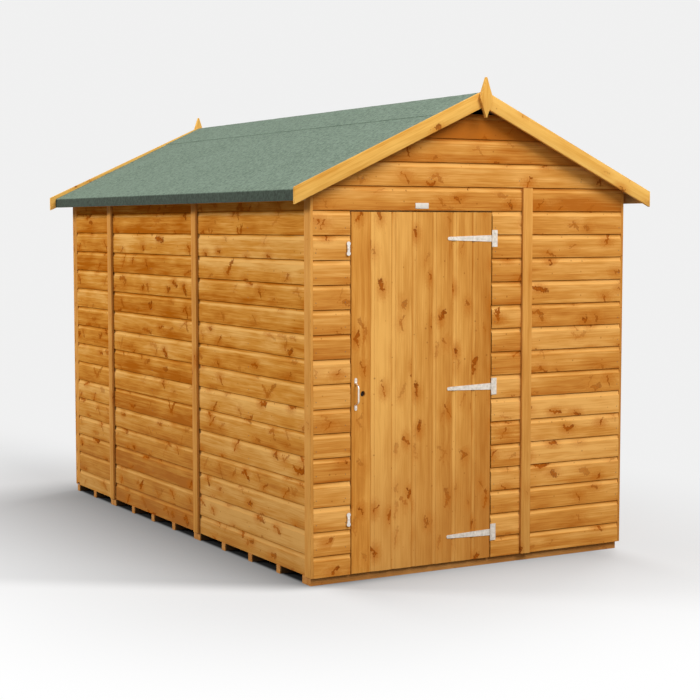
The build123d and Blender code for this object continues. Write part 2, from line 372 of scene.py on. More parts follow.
    @staticmethod
    def turn(piece: Piece, angles: Sequence[float], move: Sequence[float] = (0, 0, 0)) -> None:
        """Turns a piece about the axes through the origin, then moves it.

        Args:
            piece: The piece to turn.
            angles: The turns about X, Y and Z, in radians.
            move: The way that it goes after the turn.
        """
        piece.rotation_euler = angles
        piece.location = move
        Bench.settle(piece)

    @staticmethod
    def join(name: str, pieces: Sequence[Piece]) -> Piece:
        """Makes several pieces one mesh.

        Args:
            name: The joined piece's name.
            pieces: The pieces, of which the first takes in the others.

        Returns:
            The joined piece.
        """
        Bench.take(pieces[0])
        for piece in pieces[1:]:
            piece.select_set(True)
        if len(pieces) > 1:
            bpy.ops.object.join()
        return Bench.named(name)

    @staticmethod
    def smooth(piece: Piece, angle: float = 35) -> None:
        """Shades bends up to an angle in degrees smooth and keeps sharper arrises."""
        Bench.take(piece)
        bpy.ops.object.shade_smooth_by_angle(angle=math.radians(angle))

    @staticmethod
    def corners(piece: Piece) -> np.ndarray:
        """Reads the corners of a piece's mesh.

        Args:
            piece: The piece to read.

        Returns:
            One row of three numbers for each corner.
        """
        places = np.zeros(len(piece.data.vertices) * 3)
        piece.data.vertices.foreach_get("co", places)
        return places.reshape(-1, 3)

    @staticmethod
    def mark(piece: Piece, name: str, values: np.ndarray) -> None:
        """Writes a value or a vector on every corner of a piece.

        Args:
            piece: The piece to mark.
            name: The attribute's name.
            values: One number or one row of three for each corner.
        """
        vector = values.ndim == 2
        kind = "FLOAT_VECTOR" if vector else "FLOAT"
        made = piece.data.attributes.new(name, kind, "POINT")
        made.data.foreach_set("vector" if vector else "value", values.astype(np.float32).ravel())

    @staticmethod
    def mark_grain(
        piece: Piece, axes: str, boards: int, seed: int, shade: float = 0.5,
        last: Sequence[float] = (),
    ) -> None:
        """Marks each board's own run of grain and its shade on a piece made of boards in a row.

        Args:
            piece: The piece, whose boards have equal shares of its corners, one after the other.
            axes: The axes along, across and through a board, such as "xzy".
            boards: The number of boards.
            seed: Picks the boards' figure, always the same for one seed.
            shade: The boards' mean shade, from 0 for pale to 1 for deep.
            last: How much deeper each of the last boards is, up to the very last, as painted shade
                under the roof's edge.
        """
        rng = np.random.default_rng(seed)
        places = Bench.corners(piece)
        along, across, depth = (places[:, "xyz".index(axis)].copy() for axis in axes)
        rise = np.zeros(len(places))
        which = np.arange(len(places)) * boards // len(places)
        for board in range(boards):
            own = which == board
            low, high = across[own].min(), across[own].max()
            rise[own] = (across[own] - low) / (high - low)
            along[own] += rng.uniform(2, 60)
            across[own] += rng.uniform(-0.045, 0.045) - (low + high) / 2
            depth[own] += rng.uniform(0.02, 0.09) - depth[own].min()
        Bench.mark(piece, "grain", np.stack([along, across, depth], axis=1))
        shades = rng.random(boards) + shade - 0.5
        # Painted shade: the last boards, under the roof's edge, are made deeper
        shades[boards - len(last):] += last
        Bench.mark(piece, "board", shades[which])
        Bench.mark(piece, "rise", rise)

    @staticmethod
    def stand_apart(name: str, data: bpy.types.ID, at: Place, way: Vector) -> Piece:
        """Stands a camera or a lamp in the studio.

        Args:
            name: Its name.
            data: Its own settings.
            at: Its place.
            way: The way that it looks.

        Returns:
            The camera or lamp.
        """
        made = bpy.data.objects.new(name, data)
        bpy.context.scene.collection.objects.link(made)
        made.location = at
        made.rotation_euler = way.to_track_quat("-Z", "Y").to_euler()
        return made

    @staticmethod
    def hand_over(
        piece: Piece, body: Body, finish: "Finish", slot: str, nodes: Sequence[str] = ()
    ) -> None:
        """Gives a finished piece its material and its body, and hides the nodes that it replaces.

        Args:
            piece: The finished piece.
            body: The body that it rides on.
            finish: Its finish.
            slot: Not used.
            nodes: The nodes that it replaces.
        """
        piece.data.materials.clear()
        piece.data.materials.append(finish.material())
        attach(piece, body.value)
        if nodes:
            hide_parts(*nodes)
        log.info("%s: %d corners on %s", piece.name, len(piece.data.vertices), body.value)


class Wiring:
    """A node tree that is being wired."""

    def __init__(self, tree: bpy.types.NodeTree) -> None:
        """Takes the tree of a material, a world or a group."""
        self.tree = tree

    def node(self, kind: str, **settings: object) -> bpy.types.Node:
        """Adds a node.

        Args:
            kind: The node's type.
            **settings: Its properties.

        Returns:
            The node.
        """
        made = self.tree.nodes.new(kind)
        for name, value in settings.items():
            setattr(made, name, value)
        return made

    def feed(self, socket: Socket, source: object) -> None:
        """Links a socket to another or sets its value.

        Args:
            socket: The socket to feed.
            source: A socket, a value, or None to leave it.
        """
        if isinstance(source, bpy.types.NodeSocket):
            self.tree.links.new(source, socket)
        elif source is not None:
            socket.default_value = source

    def math(self, operation: str, *values: object, clamp: bool = False) -> Socket:
        """Adds a sum.

        Args:
            operation: What it works out.
            *values: Its sockets or numbers.
            clamp: Whether the result stays from 0 to 1.

        Returns:
            The result.
        """
        made = self.node("ShaderNodeMath", operation=operation, use_clamp=clamp)
        for socket, value in zip(made.inputs, values):
            self.feed(socket, value)
        return made.outputs[0]

    def vector(self, x: object, y: object, z: object) -> Socket:
        """Joins three numbers to a vector.

        Args:
            x: The first number or socket.
            y: The second.
            z: The third.

        Returns:
            The vector.
        """
        made = self.node("ShaderNodeCombineXYZ")
        for socket, value in zip(made.inputs, (x, y, z)):
            self.feed(socket, value)
        return made.outputs[0]

    def split(self, vector: Socket) -> tuple[Socket, Socket, Socket]:
        """Takes a vector apart.

        Args:
            vector: The vector.

        Returns:
            Its three numbers.
        """
        made = self.node("ShaderNodeSeparateXYZ")
        self.feed(made.inputs[0], vector)
        return made.outputs[0], made.outputs[1], made.outputs[2]

    def swing(self, pattern: Socket, reach: float) -> Socket:
        """Makes a pattern about one half swing to both sides of zero."""
        return self.math("MULTIPLY_ADD", pattern, reach, -reach / 2)

    def redraw(self, chance: Socket, factor: float) -> Socket:
        """Draws another chance from 0 to 1 out of one that is in use."""
        return self.math("FRACT", self.math("MULTIPLY", chance, factor))

    def distance(self, first: Socket, second: Socket) -> Socket:
        """Works out the distance from two ways at right angles."""
        squares = self.math("MULTIPLY_ADD", second, second, self.math("MULTIPLY", first, first))
        return self.math("SQRT", squares)

    def noise(
        self, vector: Socket, scale: object, detail: float = 2, roughness: float = 0.5
    ) -> Socket:
        """Adds a cloudy pattern.

        Args:
            vector: Where it is read.
            scale: Its clouds to the metre.
            detail: Its finer layers.
            roughness: How strong they are.

        Returns:
            A value about one half.
        """
        made = self.node("ShaderNodeTexNoise")
        for label, source in (
            ("Vector", vector), ("Scale", scale), ("Detail", detail), ("Roughness", roughness),
        ):
            self.feed(made.inputs[label], source)
        return made.outputs[0]

    def drawn_noise(
        self, grain: Sequence[Socket], scales: Sequence[float], detail: float, roughness: float
    ) -> Socket:
        """Adds a cloudy pattern with its own scale along, across and through a board."""
        parts = [self.math("MULTIPLY", place, scale) for place, scale in zip(grain, scales)]
        return self.noise(self.vector(*parts), 1.0, detail, roughness)

    def cells(
        self, vector: Socket, scale: float, flat: bool = False
    ) -> tuple[bpy.types.Node, list[Socket]]:
        """Adds a pattern of scattered cells.

        Args:
            vector: Where it is read.
            scale: Its cells to the metre.
            flat: Whether the cells lie in a plane.

        Returns:
            The pattern, and three chances from 0 to 1 that each cell has of its own.
        """
        made = self.node("ShaderNodeTexVoronoi", voronoi_dimensions="2D" if flat else "3D")
        self.feed(made.inputs["Vector"], vector)
        made.inputs["Scale"].default_value = scale
        chances = self.node("ShaderNodeSeparateColor")
        self.feed(chances.inputs[0], made.outputs["Color"])
        return made, list(chances.outputs)

    def between(self, value: Socket, low: float, high: float, start: float, end: float) -> Socket:
        """Leads a value smoothly from one number to another.

        Args:
            value: The value to read.
            low: Where the change begins.
            high: Where it ends.
            start: The result below it.
            end: The result above it.

        Returns:
            The result.
        """
        made = self.node("ShaderNodeMapRange", interpolation_type="SMOOTHSTEP")
        for socket, source in zip(made.inputs, (value, low, high, start, end)):
            self.feed(socket, source)
        return made.outputs[0]

    def blend(self, share: object, first: object, second: object) -> Socket:
        """Mixes two colours.

        Args:
            share: How much of the second.
            first: A colour or a socket.
            second: Another.

        Returns:
            The mixed colour.
        """
        made = self.node("ShaderNodeMix", data_type="RGBA", blend_type="MIX")
        for index, value in ((0, share), (6, first), (7, second)):
            if isinstance(value, tuple) and len(value) == 3:
                value = (*value, 1.0)
            self.feed(made.inputs[index], value)
        return made.outputs[2]

    def ramp(self, value: Socket, stops: Sequence[tuple[float, Colour]]) -> Socket:
        """Leads a value through a row of colours.

        Args:
            value: The value to read.
            stops: Places from 0 to 1 with their colours.

        Returns:
            The colour.
        """
        made = self.node("ShaderNodeValToRGB")
        elements = made.color_ramp.elements
        while len(elements) < len(stops):
            elements.new(0.5)
        for element, (place, colour) in zip(elements, stops):
            element.position = place
            element.color = (*colour, 1.0)
        self.feed(made.inputs[0], value)
        return made.outputs[0]

    def group(self, tree: bpy.types.NodeTree, **sources: object) -> bpy.types.Node:
        """Places a shader group.

        Args:
            tree: The group.
            **sources: Sockets or values for its inputs, by name.

        Returns:
            The placed group.
        """
        made = self.node("ShaderNodeGroup", node_tree=tree)
        for name, source in sources.items():
            self.feed(made.inputs[name], source)
        return made

    def attribute(self, name: str) -> bpy.types.Node:
        """Reads the mark of that name that a piece carries."""
        return self.node("ShaderNodeAttribute", attribute_name=name)

    def bump(self, height: Socket, strength: float, distance: float) -> Socket:
        """Makes a relief of a height.

        Args:
            height: The height.
            strength: How much of it shows.
            distance: How deep it is.

        Returns:
            The normal.
        """
        made = self.node("ShaderNodeBump")
        made.inputs["Strength"].default_value = strength
        made.inputs["Distance"].default_value = distance
        self.feed(made.inputs["Height"], height)
        return made.outputs[0]


class ShaderGroups:
    """The shader groups that several finishes place, each built once."""

    @staticmethod
    def start(name: str, inputs: dict[str, str], outputs: dict[str, str]) -> Wiring | None:
        """Opens a new group.

        Args:
            name: The group's name.
            inputs: Its inputs with their socket types.
            outputs: Its outputs with their socket types.

        Returns:
            The wiring of the new group, or None if the group is there already.
        """
        if name in bpy.data.node_groups:
            return None
        tree = bpy.data.node_groups.new(name, "ShaderNodeTree")
        for way, sockets in (("INPUT", inputs), ("OUTPUT", outputs)):
            for label, kind in sockets.items():
                tree.interface.new_socket(label, in_out=way, socket_type="NodeSocket" + kind)
        return Wiring(tree)

    @staticmethod
    def close(wire: Wiring, results: dict[str, Socket]) -> bpy.types.NodeTree:
        """Feeds a group's outputs.

        Args:
            wire: The group's wiring.
            results: What the outputs put out, by name.

        Returns:
            The group.
        """
        made = wire.node("NodeGroupOutput")
        for label, source in results.items():
            wire.feed(made.inputs[label], source)
        return wire.tree

    @staticmethod
    def leaf(
        wire: Wiring, x: Socket, y: Socket, angle: Socket, length: Socket, width: Socket
    ) -> tuple[Socket, Socket]:
        """Shapes one leaf of a knot, which starts at the knot's middle and widens away from it.

        Args:
            wire: The wiring of the figure.
            x: The way from the middle along the board.
            y: The way across it.
            angle: The leaf's turn from the board's run.
            length: Half its length.
            width: Half its width.

        Returns:
            The distance from its middle, 1 at its edge, and the place along it.
        """
        sine, cosine = wire.math("SINE", angle), wire.math("COSINE", angle)
        ahead = wire.math("MULTIPLY_ADD", x, cosine, wire.math("MULTIPLY", y, sine))
        back = wire.math("MULTIPLY", x, sine)
        beside = wire.math("SUBTRACT", wire.math("MULTIPLY", y, cosine), back)
        place = wire.math("SUBTRACT", wire.math("DIVIDE", ahead, length), 0.6)
        wide = wire.math("MULTIPLY", width, wire.math("MULTIPLY_ADD", place, 0.3, 1.0))
        return wire.distance(place, wire.math("DIVIDE", beside, wide)), place

    @staticmethod
    def knots(
        wire: Wiring, given: bpy.types.Node, grain: Sequence[Socket]
    ) -> tuple[Socket, Socket, Socket]:
        """Scatters knots, one to a cell, each with its own slant, size and chance.

        Args:
            wire: The wiring of the figure.
            given: The figure's inputs.
            grain: The places along, across and through the board.

        Returns:
            The knots, the share of their dark heart, and the glow round them.
        """
        along, across, depth = grain
        cells_along, cells_across = 5.6, 9.0
        place = wire.vector(
            wire.math("MULTIPLY", along, cells_along),
            wire.math("MULTIPLY", across, cells_across), 0.0,
        )
        cells, chances = wire.cells(place, 1.0, flat=True)
        middle_x, middle_y, _ = wire.split(cells.outputs["Position"])
        from_x = wire.math("SUBTRACT", along, wire.math("DIVIDE", middle_x, cells_along))
        from_y = wire.math("SUBTRACT", across, wire.math("DIVIDE", middle_y, cells_across))
        ragged = wire.noise(wire.vector(along, across, depth), 105, 3, 0.65)
        bent = []
        for start, layer, reach in ((from_x, 3.1, 0.046), (from_y, 7.7, 0.034)):
            wander = wire.noise(wire.vector(along, across, wire.math("ADD", depth, layer)), 62)
            bent.append(wire.math("ADD", start, wire.swing(wander, reach)))

        # A knot is one leaf or two about a round core, all with ragged edges
        spike = wire.math("POWER", chances[0], 1.3)
        slant = wire.math("MULTIPLY", given.outputs["Slant"], wire.swing(chances[1], 2.0))
        own = wire.redraw(chances[1], 9.1)
        size = wire.math("MULTIPLY_ADD", own, own, 0.75)
        size = wire.math("MULTIPLY", given.outputs["Knot size"], size)
        length = wire.math("MULTIPLY", size, wire.math("MULTIPLY_ADD", spike, 0.019, 0.0115))
        width = wire.math("MULTIPLY", size, wire.math("MULTIPLY_ADD", spike, -0.0026, 0.0068))
        first, lengthwise = ShaderGroups.leaf(wire, *bent, slant, length, width)
        second, _ = ShaderGroups.leaf(
            wire, wire.math("MULTIPLY", bent[0], -1.0),
            wire.math("MULTIPLY", bent[1], wire.math("SIGN", wire.math("SUBTRACT", own, 0.4))),
            wire.math("MULTIPLY_ADD", slant, 0.7, 0.25),
            wire.math("MULTIPLY", length, 0.8), wire.math("MULTIPLY", width, 0.75),
        )
        alone = wire.math("GREATER_THAN", wire.redraw(chances[2], 13.7), 0.62)
        far = wire.math("MINIMUM", first, wire.math("MULTIPLY_ADD", alone, 9.0, second))
        core = wire.math("DIVIDE", wire.distance(*bent), wire.math("MULTIPLY", size, 0.0058))
        far = wire.math("ADD", wire.math("MINIMUM", far, core), wire.swing(ragged, 1.5))

        there = wire.math("LESS_THAN", chances[2], given.outputs["Knots"])
        bold = wire.between(wire.redraw(chances[0], 7.3), 0.1, 0.9, 0.35, 1.0)
        strength = wire.math("MULTIPLY", there, bold)
        knot = wire.math("MULTIPLY", wire.between(far, 0.70, 1.08, 1.0, 0.0), strength)
        tip = wire.math("MULTIPLY_ADD", lengthwise, 0.42, 0.4, clamp=True)
        rim = wire.between(far, 0.15, 0.75, 0.0, 1.0)
        rim = wire.math("MULTIPLY", rim, wire.math("SUBTRACT", 1.0, spike))
        heart = wire.math("MULTIPLY_ADD", tip, spike, rim)
        glow = wire.distance(wire.math("DIVIDE", from_x, 0.060), wire.math("DIVIDE", from_y, 0.036))
        glow = wire.math("ADD", glow, wire.swing(ragged, 0.9))
        halo = wire.math("MULTIPLY", wire.between(glow, 0.1, 1.3, 1.0, 0.0), strength)
        return knot, heart, halo

    @staticmethod
    def pin_knots(wire: Wiring, along: Socket, across: Socket, share: Socket) -> Socket:
        """Scatters knots of a pin's size.

        Args:
            wire: The wiring of the figure.
            along: The place along the board.
            across: The place across it.
            share: The share of cells that hold a knot.

        Returns:
            Their strength.
        """
        cells, chances = wire.cells(wire.vector(along, across, 0.0), 17.0, flat=True)
        size = wire.math("MULTIPLY_ADD", chances[0], 0.055, 0.025)
        far = wire.math("DIVIDE", cells.outputs["Distance"], size)
        there = wire.math("LESS_THAN", chances[1], wire.math("MULTIPLY", share, 0.28))
        return wire.math("MULTIPLY", wire.between(far, 0.4, 1.4, 0.55, 0.0), there)

    @staticmethod
    def pine_figure() -> bpy.types.NodeTree:
        """Builds the figure of a pine board: streaks, rings and knots from its grain vector.

        Returns:
            The group.
        """
        name = "pine figure"
        parts = ("Streak", "Fine", "Ring", "Blotch", "Knot", "Heart", "Halo", "Height")
        wire = ShaderGroups.start(
            name, {"Grain": "Vector", "Knots": "Float", "Knot size": "Float", "Slant": "Float"},
            dict.fromkeys(parts, "Float"),
        )
        if wire is None:
            return bpy.data.node_groups[name]
        given = wire.node("NodeGroupInput")
        grain = wire.split(given.outputs["Grain"])
        along, across, depth = grain
        knot, heart, halo = ShaderGroups.knots(wire, given, grain)
        pin = ShaderGroups.pin_knots(wire, along, across, given.outputs["Knots"])
        knot = wire.math("MAXIMUM", knot, pin)

        # Rings run with the board and bend round the knots
        drift = wire.drawn_noise(grain, (1.6, 9.0, 9.0), 2, 0.5)
        aside = wire.math("ADD", across, wire.swing(drift, 0.10))
        radius = wire.math("MULTIPLY_ADD", halo, 0.012, wire.distance(aside, depth))
        ring = wire.math("POWER", wire.redraw(radius, 175.0), 2.0)

        fibre = wire.drawn_noise(grain, (25.0, 700.0, 700.0), 2, 0.5)
        height = wire.math("MULTIPLY_ADD", ring, 0.6, fibre)
        return ShaderGroups.close(wire, {
            "Streak": wire.drawn_noise(grain, (0.7, 62.0, 40.0), 4, 0.6),
            "Blotch": wire.drawn_noise(grain, (4.0, 16.0, 12.0), 2, 0.5),
            "Fine": wire.drawn_noise(grain, (7.0, 150.0, 90.0), 2, 0.6),
            "Ring": ring, "Knot": knot, "Heart": heart, "Halo": halo,
            "Height": wire.math("MULTIPLY_ADD", knot, -0.5, height),
        })

    @staticmethod
    def granules() -> bpy.types.NodeTree:
        """Builds the crushed slate on roofing felt: grains, clumps and a slow drift of shade.

        Returns:
            The group.
        """
        name = "felt granules"
        parts = ("Grain", "Clump", "Drift", "Height")
        wire = ShaderGroups.start(name, {"Place": "Vector"}, dict.fromkeys(parts, "Float"))
        if wire is None:
            return bpy.data.node_groups[name]
        place = wire.node("NodeGroupInput").outputs[0]
        cells, chances = wire.cells(place, 520)
        return ShaderGroups.close(wire, {
            "Grain": chances[0],
            "Clump": wire.noise(place, 60, 3, 0.7),
            "Drift": wire.noise(place, 3.2, 3, 0.55),
            "Height": wire.math("SUBTRACT", 1.0, cells.outputs["Distance"]),
        })

    @staticmethod
    def grime() -> bpy.types.NodeTree:
        """Builds the dullness of handled surfaces: soft cloudy patches and fine specks.

        Returns:
            The group.
        """
        name = "grime"
        wire = ShaderGroups.start(
            name, {"Place": "Vector", "Size": "Float"}, {"Patch": "Float", "Speck": "Float"}
        )
        if wire is None:
            return bpy.data.node_groups[name]
        given = wire.node("NodeGroupInput")
        place, size = given.outputs["Place"], given.outputs["Size"]
        return ShaderGroups.close(wire, {
            "Patch": wire.noise(place, size, 4),
            "Speck": wire.noise(place, wire.math("MULTIPLY", size, 9.0)),
        })


@dataclass(frozen=True)
class Finish:
    """What a surface is made of and how it was treated."""

    name: str

    def material(self) -> bpy.types.Material:
        """Makes the finish's material once.

        Returns:
            The material.
        """
        found = bpy.data.materials.get(self.name)
        if found is not None:
            return found
        made = bpy.data.materials.new(self.name)
        made.use_nodes = True
        wire = Wiring(made.node_tree)
        self.wire_up(wire, made.node_tree.nodes["Principled BSDF"])
        return made

    def wire_up(self, wire: Wiring, shader: bpy.types.Node) -> None:
        """Feeds the finish into its Principled shader, in the way of each kind."""
        raise NotImplementedError

    def place(self, wire: Wiring) -> Socket:
        """Reads the place on the object, in metres."""
        return wire.node("ShaderNodeTexCoord").outputs["Object"]


@dataclass(frozen=True)
class PineFinish(Finish):
    """Planed or sawn pine, from its pale sapwood to its deep heart, with knots."""

    pale: Colour = (0.76, 0.392, 0.105)
    middle: Colour = (0.59, 0.250, 0.044)
    deep: Colour = (0.42, 0.124, 0.012)
    halo: Colour = (0.455, 0.130, 0.009)
    knot: Colour = (0.395, 0.092, 0.003)
    heart: Colour = (0.185, 0.034, 0.001)
    # The colour of the painted shade in the laps between boards
    lap_shade_colour: Colour = (0.190, 0.056, 0.004)
    # The colour of the painted shade towards the ground
    ground_shade_colour: Colour = (0.38, 0.185, 0.055)
    knots: float = 0.78
    knot_size: float = 1.0
    slant: float = 1.5
    shade_range: float = 0.5
    # How strong the painted highlight on each board's cove and the painted shade across the board
    # are
    cove_light_and_shade: float = 0.60
    # How much painted shade darkens and dulls the boards towards the ground
    ground_shade: float = 0.0
    # How much painted shade darkens the joists' sides under the floor, in the heart colour
    under: float = 0.0
    under_floor_shade_sides: tuple[float, float] = (0.870, 0.878)
    under_floor_shade_front: tuple[float, float] = (-1.51, -1.47)
    lap_line: tuple[float, float] = (0.872, 0.894)
    sheen: float = 0.03
    roughness: float = 0.55
    # How much painted shade darkens the laps between boards
    lap_shade: float = 0.0
    figure: float = 1.0
    run: GrainRun = GrainRun.MARKED

    def grain(self, wire: Wiring) -> tuple[Socket, Socket]:
        """Finds the grain vector and the shade of the board at a place.

        Args:
            wire: The material's wiring.

        Returns:
            The vector along, across and through the board, and a shade about zero.
        """
        if self.run is GrainRun.MARKED:
            rise = wire.attribute("rise").outputs["Fac"]
            shade = wire.swing(wire.attribute("board").outputs["Fac"], self.shade_range)
            # Painted light and shade across each board: deeper at its foot, a painted highlight on
            # the cove, painted shade up into the lap
            for low, high, start, end in (
                (0.0, 0.75, 1 / 4, -1 / 6), (0.70, 0.76, 0.0, -1 / 2), (0.77, 0.89, 0.0, 1.0),
            ):
                step = wire.between(rise, low, high, start * self.cove_light_and_shade, end * self.cove_light_and_shade)
                shade = wire.math("ADD", shade, step)
            return wire.attribute("grain").outputs["Vector"], shade
        place = self.place(wire)
        x, y, z = wire.split(place)
        order = {
            GrainRun.ALONG_X: (x, z, y), GrainRun.ALONG_Y: (y, z, x), GrainRun.UPRIGHT: (z, x, y),
        }
        shade = wire.swing(wire.noise(place, 1.4, 0), self.shade_range)
        return wire.vector(*order[self.run]), shade

    def wire_up(self, wire: Wiring, shader: bpy.types.Node) -> None:
        """Feeds the figure, the board's shade, the knots and the painted light and shade into the
        shader.

        Args:
            wire: The material's wiring.
            shader: Its Principled shader.
        """
        vector, shade = self.grain(wire)
        figure = wire.group(ShaderGroups.pine_figure(), **{
            "Grain": vector, "Knots": self.knots, "Knot size": self.knot_size, "Slant": self.slant
        })
        tone = wire.math("MULTIPLY_ADD", figure.outputs["Ring"], 0.12, 0.46)
        for name, weight in (("Streak", 1.0), ("Blotch", 1.1), ("Fine", 0.7)):
            share = wire.swing(figure.outputs[name], weight * self.figure)
            tone = wire.math("ADD", tone, share)
        tone = wire.math("ADD", tone, shade, clamp=True)
        colour = wire.ramp(tone, ((0.0, self.pale), (0.5, self.middle), (1.0, self.deep)))
        # Painted shade: the boards grow darker and duller towards the ground, over the lowest metre
        if self.ground_shade:
            low = wire.between(wire.split(self.place(wire))[2], 0.0, 1.0, self.ground_shade, 0.0)
            colour = wire.blend(low, colour, self.ground_shade_colour)
        colour = wire.blend(wire.math("MULTIPLY", figure.outputs["Halo"], 0.66), colour, self.halo)
        knot = wire.blend(figure.outputs["Heart"], self.knot, self.heart)
        colour = wire.blend(wire.math("MULTIPLY", figure.outputs["Knot"], 0.92), colour, knot)
        # Painted shade on the joists' sides under the floor, away from their ends and behind the
        # front joist
        if self.under:
            across, along, _ = wire.split(self.place(wire))
            inner = wire.between(
                wire.math("ABSOLUTE", across), *self.under_floor_shade_sides, self.under, 0.0
            )
            behind = wire.between(along, *self.under_floor_shade_front, 0.0, 1.0)
            colour = wire.blend(wire.math("MULTIPLY", inner, behind), colour, self.heart)
        # Painted shade in the gap where each board laps under the next
        if self.lap_shade:
            rise = wire.attribute("rise").outputs["Fac"]
            lap = wire.between(rise, *self.lap_line, 0.0, self.lap_shade)
            colour = wire.blend(lap, colour, self.lap_shade_colour)
        wire.feed(shader.inputs["Base Color"], colour)
        rough = wire.math("MULTIPLY_ADD", figure.outputs["Streak"], 0.16, self.roughness - 0.08)
        wire.feed(shader.inputs["Roughness"], rough)
        shader.inputs["Specular IOR Level"].default_value = self.sheen
        wire.feed(shader.inputs["Normal"], wire.bump(figure.outputs["Height"], 0.22, 0.0006))


@dataclass(frozen=True)
class FeltFinish(Finish):
    """Green mineral felt: crushed slate pressed into bitumen."""

    light: Colour = (0.202, 0.269, 0.204)
    dark: Colour = (0.083, 0.121, 0.085)
    fold: Colour = (0.024, 0.031, 0.022)

    def wire_up(self, wire: Wiring, shader: bpy.types.Node) -> None:
        """Feeds the slate's grains and the darker folded edge into the shader.

        Args:
            wire: The material's wiring.
            shader: Its Principled shader.
        """
        slate = wire.group(ShaderGroups.granules(), Place=self.place(wire))
        tone = wire.math("MULTIPLY_ADD", slate.outputs["Grain"], 0.55, 0.05)
        tone = wire.math("ADD", tone, wire.swing(slate.outputs["Clump"], 3.0))
        tone = wire.math("MULTIPLY_ADD", slate.outputs["Drift"], 0.4, tone, clamp=True)
        colour = wire.blend(tone, self.dark, self.light)
        folded = wire.attribute("fold").outputs["Fac"]
        edge = wire.blend(wire.math("MULTIPLY", tone, 0.5), self.fold, self.dark)
        wire.feed(shader.inputs["Base Color"], wire.blend(folded, colour, edge))
        rough = wire.math("MULTIPLY_ADD", slate.outputs["Grain"], 0.15, 0.78)
        wire.feed(shader.inputs["Roughness"], rough)
        shader.inputs["Specular IOR Level"].default_value = 0.2
        wire.feed(shader.inputs["Normal"], wire.bump(slate.outputs["Height"], 0.6, 0.0012))


@dataclass(frozen=True)
class ZincFinish(Finish):
    """Bright zinc plate on pressed steel, a little cloudy and handled."""

    bright: Colour = (0.70, 0.64, 0.565)
    dull: Colour = (0.53, 0.48, 0.415)
    roughness: float = 0.52

    def wire_up(self, wire: Wiring, shader: bpy.types.Node) -> None:
        """Feeds the cloudy plate and its fine scratches into the shader.

        Args:
            wire: The material's wiring.
            shader: Its Principled shader.
        """
        grime = wire.group(ShaderGroups.grime(), Place=self.place(wire), Size=60.0)
        share = wire.between(grime.outputs["Patch"], 0.3, 0.75, 0.0, 1.0)
        colour = wire.blend(share, self.bright, self.dull)
        wire.feed(shader.inputs["Base Color"], colour)
        shader.inputs["Metallic"].default_value = 1.0
        rough = wire.math("MULTIPLY_ADD", grime.outputs["Speck"], 0.22, self.roughness - 0.08)
        wire.feed(shader.inputs["Roughness"], rough)
        wire.feed(shader.inputs["Normal"], wire.bump(grime.outputs["Speck"], 0.12, 0.0004))


@dataclass(frozen=True)
class CoatFinish(Finish):
    """A plain coat such as enamel or moulded plastic, worn in faint patches."""

    colour: Colour = (0.8, 0.8, 0.8)
    worn: Colour = (0.7, 0.7, 0.7)
    roughness: float = 0.4
    sheen: float = 0.5

    def wire_up(self, wire: Wiring, shader: bpy.types.Node) -> None:
        """Feeds the coat and its worn patches into the shader.

        Args:
            wire: The material's wiring.
            shader: Its Principled shader.
        """
        grime = wire.group(ShaderGroups.grime(), Place=self.place(wire), Size=45.0)
        share = wire.between(grime.outputs["Patch"], 0.4, 0.7, 0.0, 1.0)
        wire.feed(shader.inputs["Base Color"], wire.blend(share, self.colour, self.worn))
        shader.inputs["Specular IOR Level"].default_value = self.sheen
        rough = wire.math("MULTIPLY_ADD", grime.outputs["Speck"], 0.2, self.roughness - 0.1)
        wire.feed(shader.inputs["Roughness"], rough)
        wire.feed(shader.inputs["Normal"], wire.bump(grime.outputs["Speck"], 0.08, 0.0004))


@dataclass(frozen=True)
class StrandBoardFinish(Finish):
    """Pressed strand board: flat flakes of wood laid every way."""

    pale: Colour = (0.62, 0.44, 0.24)
    deep: Colour = (0.36, 0.21, 0.09)

    def wire_up(self, wire: Wiring, shader: bpy.types.Node) -> None:
        """Feeds the flakes' shades and the fine grain on them into the shader.

        Args:
            wire: The material's wiring.
            shader: Its Principled shader.
        """
        place = self.place(wire)
        warped = wire.node("ShaderNodeVectorMath", operation="ADD")
        wire.feed(warped.inputs[0], place)
        wobble = wire.node("ShaderNodeTexNoise")
        wire.feed(wobble.inputs["Vector"], place)
        wobble.inputs["Scale"].default_value = 14
        spread = wire.node("ShaderNodeVectorMath", operation="SCALE")
        wire.feed(spread.inputs[0], wobble.outputs["Color"])
        spread.inputs["Scale"].default_value = 0.06
        wire.feed(warped.inputs[1], spread.outputs[0])
        _, shades = wire.cells(warped.outputs[0], 30)
        fine = wire.noise(place, 220)
        tone = wire.math("ADD", shades[0], wire.swing(fine, 0.5), clamp=True)
        wire.feed(shader.inputs["Base Color"], wire.blend(tone, self.pale, self.deep))
        wire.feed(shader.inputs["Roughness"], wire.math("MULTIPLY_ADD", fine, 0.2, 0.62))
        wire.feed(shader.inputs["Normal"], wire.bump(shades[0], 0.3, 0.0008))


